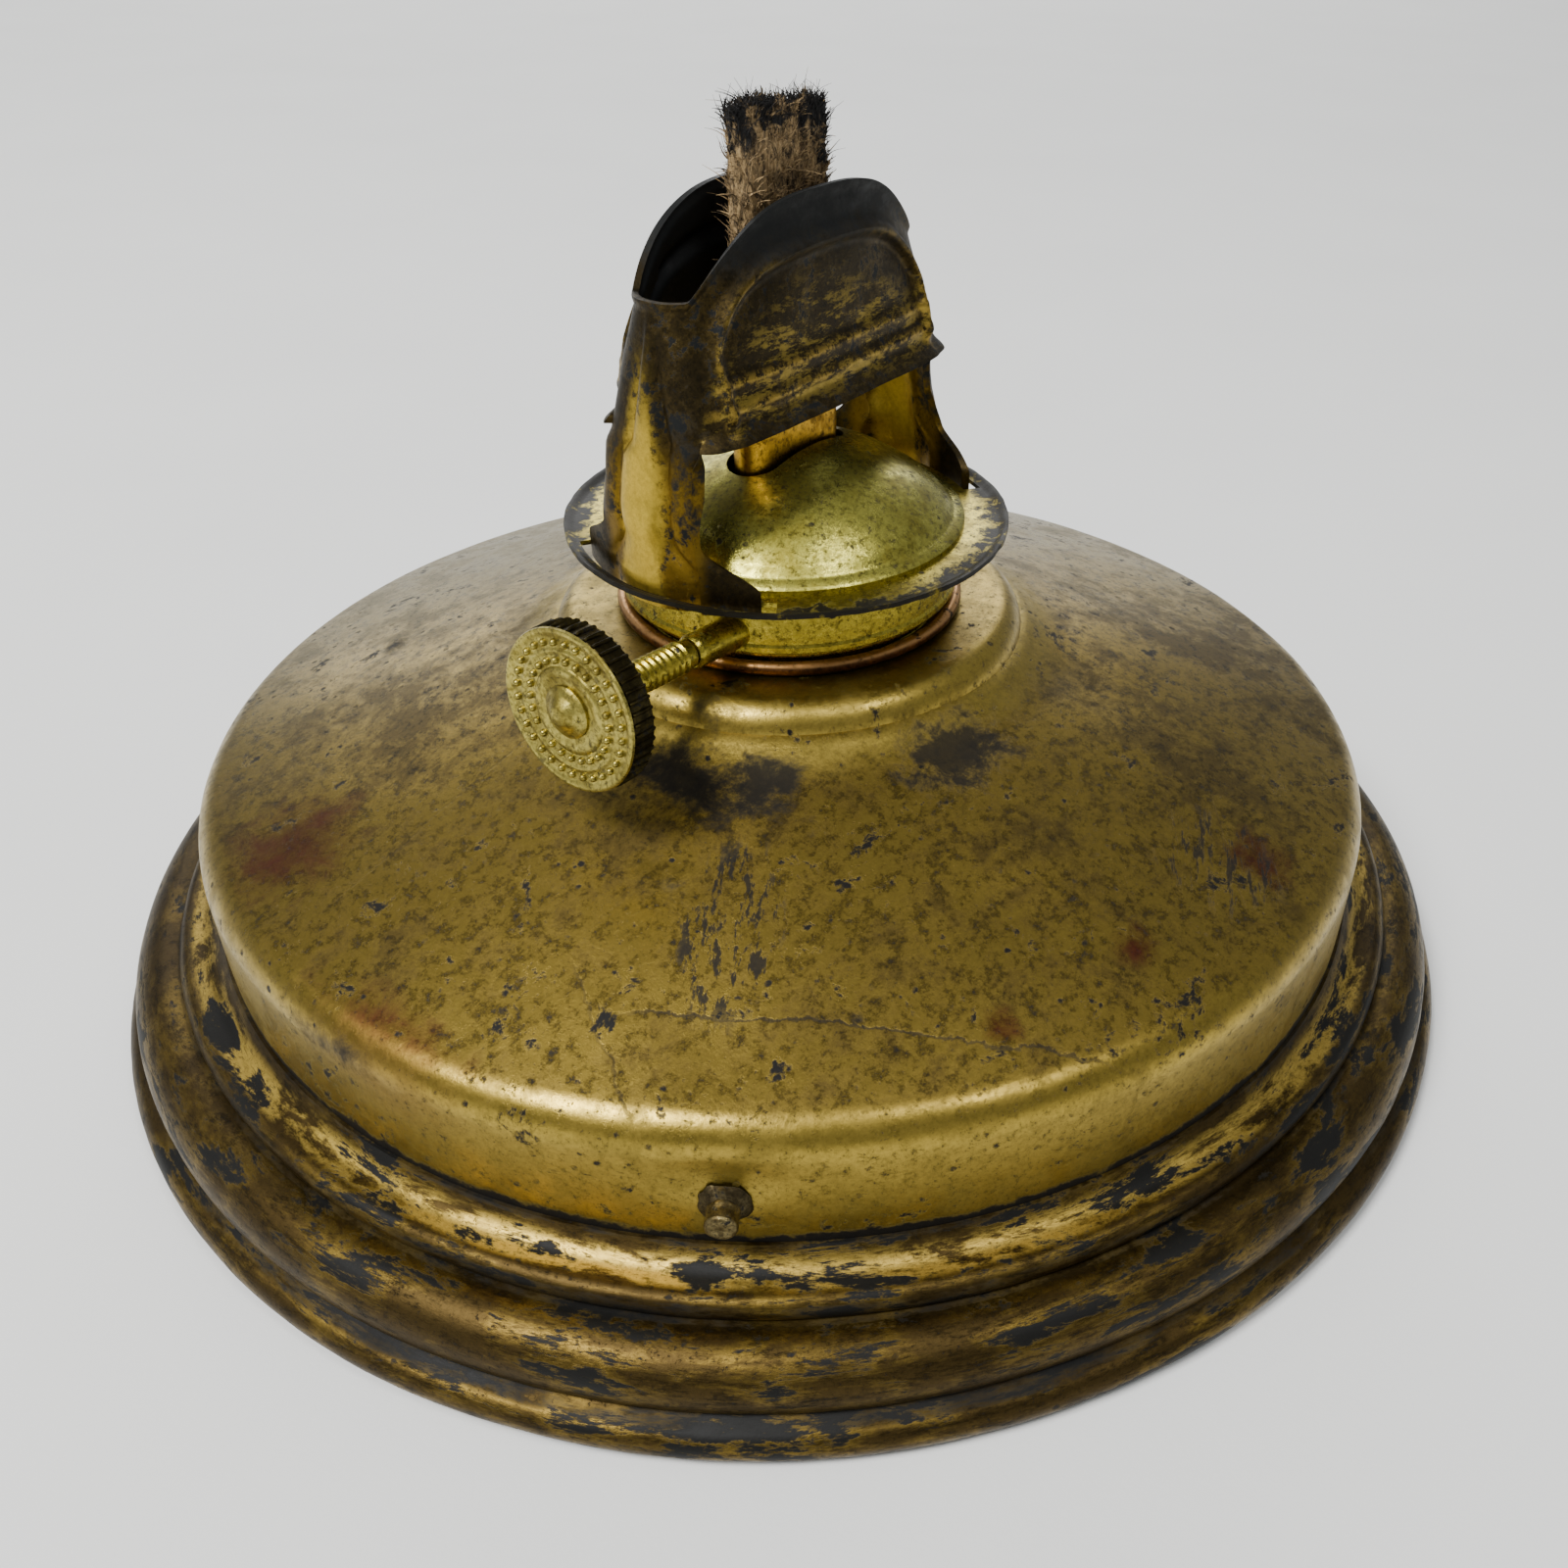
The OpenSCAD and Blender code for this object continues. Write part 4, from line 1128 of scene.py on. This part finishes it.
rows = [WICK_BOTTOM, WICK_BOTTOM + 0.3] + [24 + 5 * i for i in range(11)] + [76 + 0.35 * i for i in range(47)]
loops = [[(0, 0, WICK_BOTTOM)] * 2 * (WICK_SIDE + WICK_END)] + [wick_loop(z) for z in rows + [WICK_TOP - 1.4]]
loops += [wick_loop(WICK_TOP - 1.4, k) for k in (0.85, 0.6, 0.3, 0.02)]
core = loft("wick_core", loops, closed=False, shape=ragged, sharp=60)


def strand(name, length, r, bend):
    """One fibre: a thin, bent, three-sided taper along +Z."""
    loops = []
    for t in (0, 0.25, 0.5, 0.75, 1):
        w = r * (1 - 0.75 * t)
        loops.append([(bend * t * t + w * math.cos(a), w * math.sin(a), length * t)
                      for a in (0, 2.094, 4.189)])
    return loft(name, loops, closed=False)


def furred(name, base, strands, low, density, seed):
    """Fibres scattered over the upper part of the wick, one plain mesh for each kind of fibre."""
    tree, made = node_tree(
        name, {"Geometry": "Geometry", "Fibre": "Object", "Low": "Float", "Density": "Float", "Seed": "Int"},
        {"info": "GeometryNodeObjectInfo", "scatter": "GeometryNodeDistributePointsOnFaces",
         "spread": "GeometryNodeInstanceOnPoints", "real": "GeometryNodeRealizeInstances",
         "paint": "GeometryNodeSetMaterial", "place": "GeometryNodeInputPosition",
         "split": "ShaderNodeSeparateXYZ", "above": "FunctionNodeCompare", "lean": "FunctionNodeRandomValue",
         "turn": "FunctionNodeEulerToRotation", "size": "FunctionNodeRandomValue"},
        ("place.Position > split.0", "split.Z > above.A", "enter.Low > above.B",
         "enter.Geometry > scatter.Mesh", "above.Result > scatter.Selection",
         "enter.Density > scatter.Density", "enter.Seed > scatter.Seed", "enter.Seed > lean.Seed",
         "lean.Value > turn.Euler", "enter.Fibre > info.Object", "info.Geometry > spread.Instance",
         "scatter.Points > spread.Points", "turn.Rotation > spread.Rotation", "enter.Seed > size.Seed",
         "size.1 > spread.Scale", "spread.Instances > real.Geometry", "real.Geometry > paint.Geometry",
         "paint.Geometry > leave.Geometry"),
        {"lean": {"data_type": "FLOAT_VECTOR"}, "size": {"data_type": "FLOAT"}})
    made["lean"].inputs["Min"].default_value = (-0.9, -0.9, 0)
    made["lean"].inputs["Max"].default_value = (0.9, 0.9, 6.28)
    made["size"].inputs[2].default_value, made["size"].inputs[3].default_value = 0.45, 1.25
    made["paint"].inputs["Material"].default_value = MATERIALS["wick_cotton"]
    return [run_tree(name, base.data, tree, {"Fibre": fibre, "Low": low[k] * MM, "Density": density[k] * 1e6,
                                             "Seed": seed + k}) for k, fibre in enumerate(strands)]


strands = [strand("short", 1.2, 0.10, 0.6), strand("long", 2.0, 0.06, 1.3), strand("tuft", 1.1, 0.13, 0.4)]
fibres = furred("fibre", core, strands, (77.5, 78.5, 91.2), (7.5, 1.6, 9.0), 7)
for s in strands:
    bpy.data.objects.remove(s)
fit(joined("wick_cloth", [core] + fibres), "wick_cotton", "wick", "wick")


# ---- CAD nodes that are shown as they are

SHOWN_AS_PACKED = {"bottom_plate": "moulding_brass", "burner_floor": "burner_brass",
                   "sprocket_cover": "burner_brass", "spindle": "knob_brass", "sprocket_near": "knob_brass",
                   "sprocket_far": "knob_brass"}
for node, slot in SHOWN_AS_PACKED.items():
    cover(frame["nodes"][node], slot)


# ---- table and light

def paper():
    s = Shade("paper", Roughness=0.85)
    tone = s.noise(60, 3, 0.5, at=1.0)
    s.set("Base Color", s.mix(tone, (222, 222, 219), (230, 230, 227)))
    s.set("Normal", s.bump(s.noise(0.8, 4, 0.6, at=2.0), 0.03))
    return s.material


bpy.ops.mesh.primitive_plane_add(size=5)
table = bpy.context.object
table.name = "table"
table.data.materials.append(paper())


def soft_light(name, turn, height, distance, size, power):
    """A square soft light aimed at the burner. turn and height are degrees round and above it."""
    a, e = math.radians(turn), math.radians(height)
    data = bpy.data.lights.new(name, "AREA")
    data.shape = "RECTANGLE"
    data.size, data.size_y = size
    data.energy = power
    light = linked(name, data)
    away = Vector((math.sin(a) * math.cos(e), -math.cos(a) * math.cos(e), math.sin(e)))
    light.location = away * distance + Vector((0, 0, 0.04))
    light.rotation_euler = away.to_track_quat("Z", "Y").to_euler()


soft_light("left", CAMERA_TURN - 52, 56, 1.2, (0.42, 0.42), 22)
soft_light("right", CAMERA_TURN + 48, 62, 1.4, (0.35, 0.35), 5.5)
soft_light("behind", CAMERA_TURN + 184, 24, 1.4, (1.6, 0.7), 12)
world = bpy.data.worlds.new("room")
world.use_nodes = True
world.node_tree.nodes["Background"].inputs["Color"].default_value = (0.92, 0.96, 1.0, 1)
world.node_tree.nodes["Background"].inputs["Strength"].default_value = 0.36
bpy.context.scene.world = world
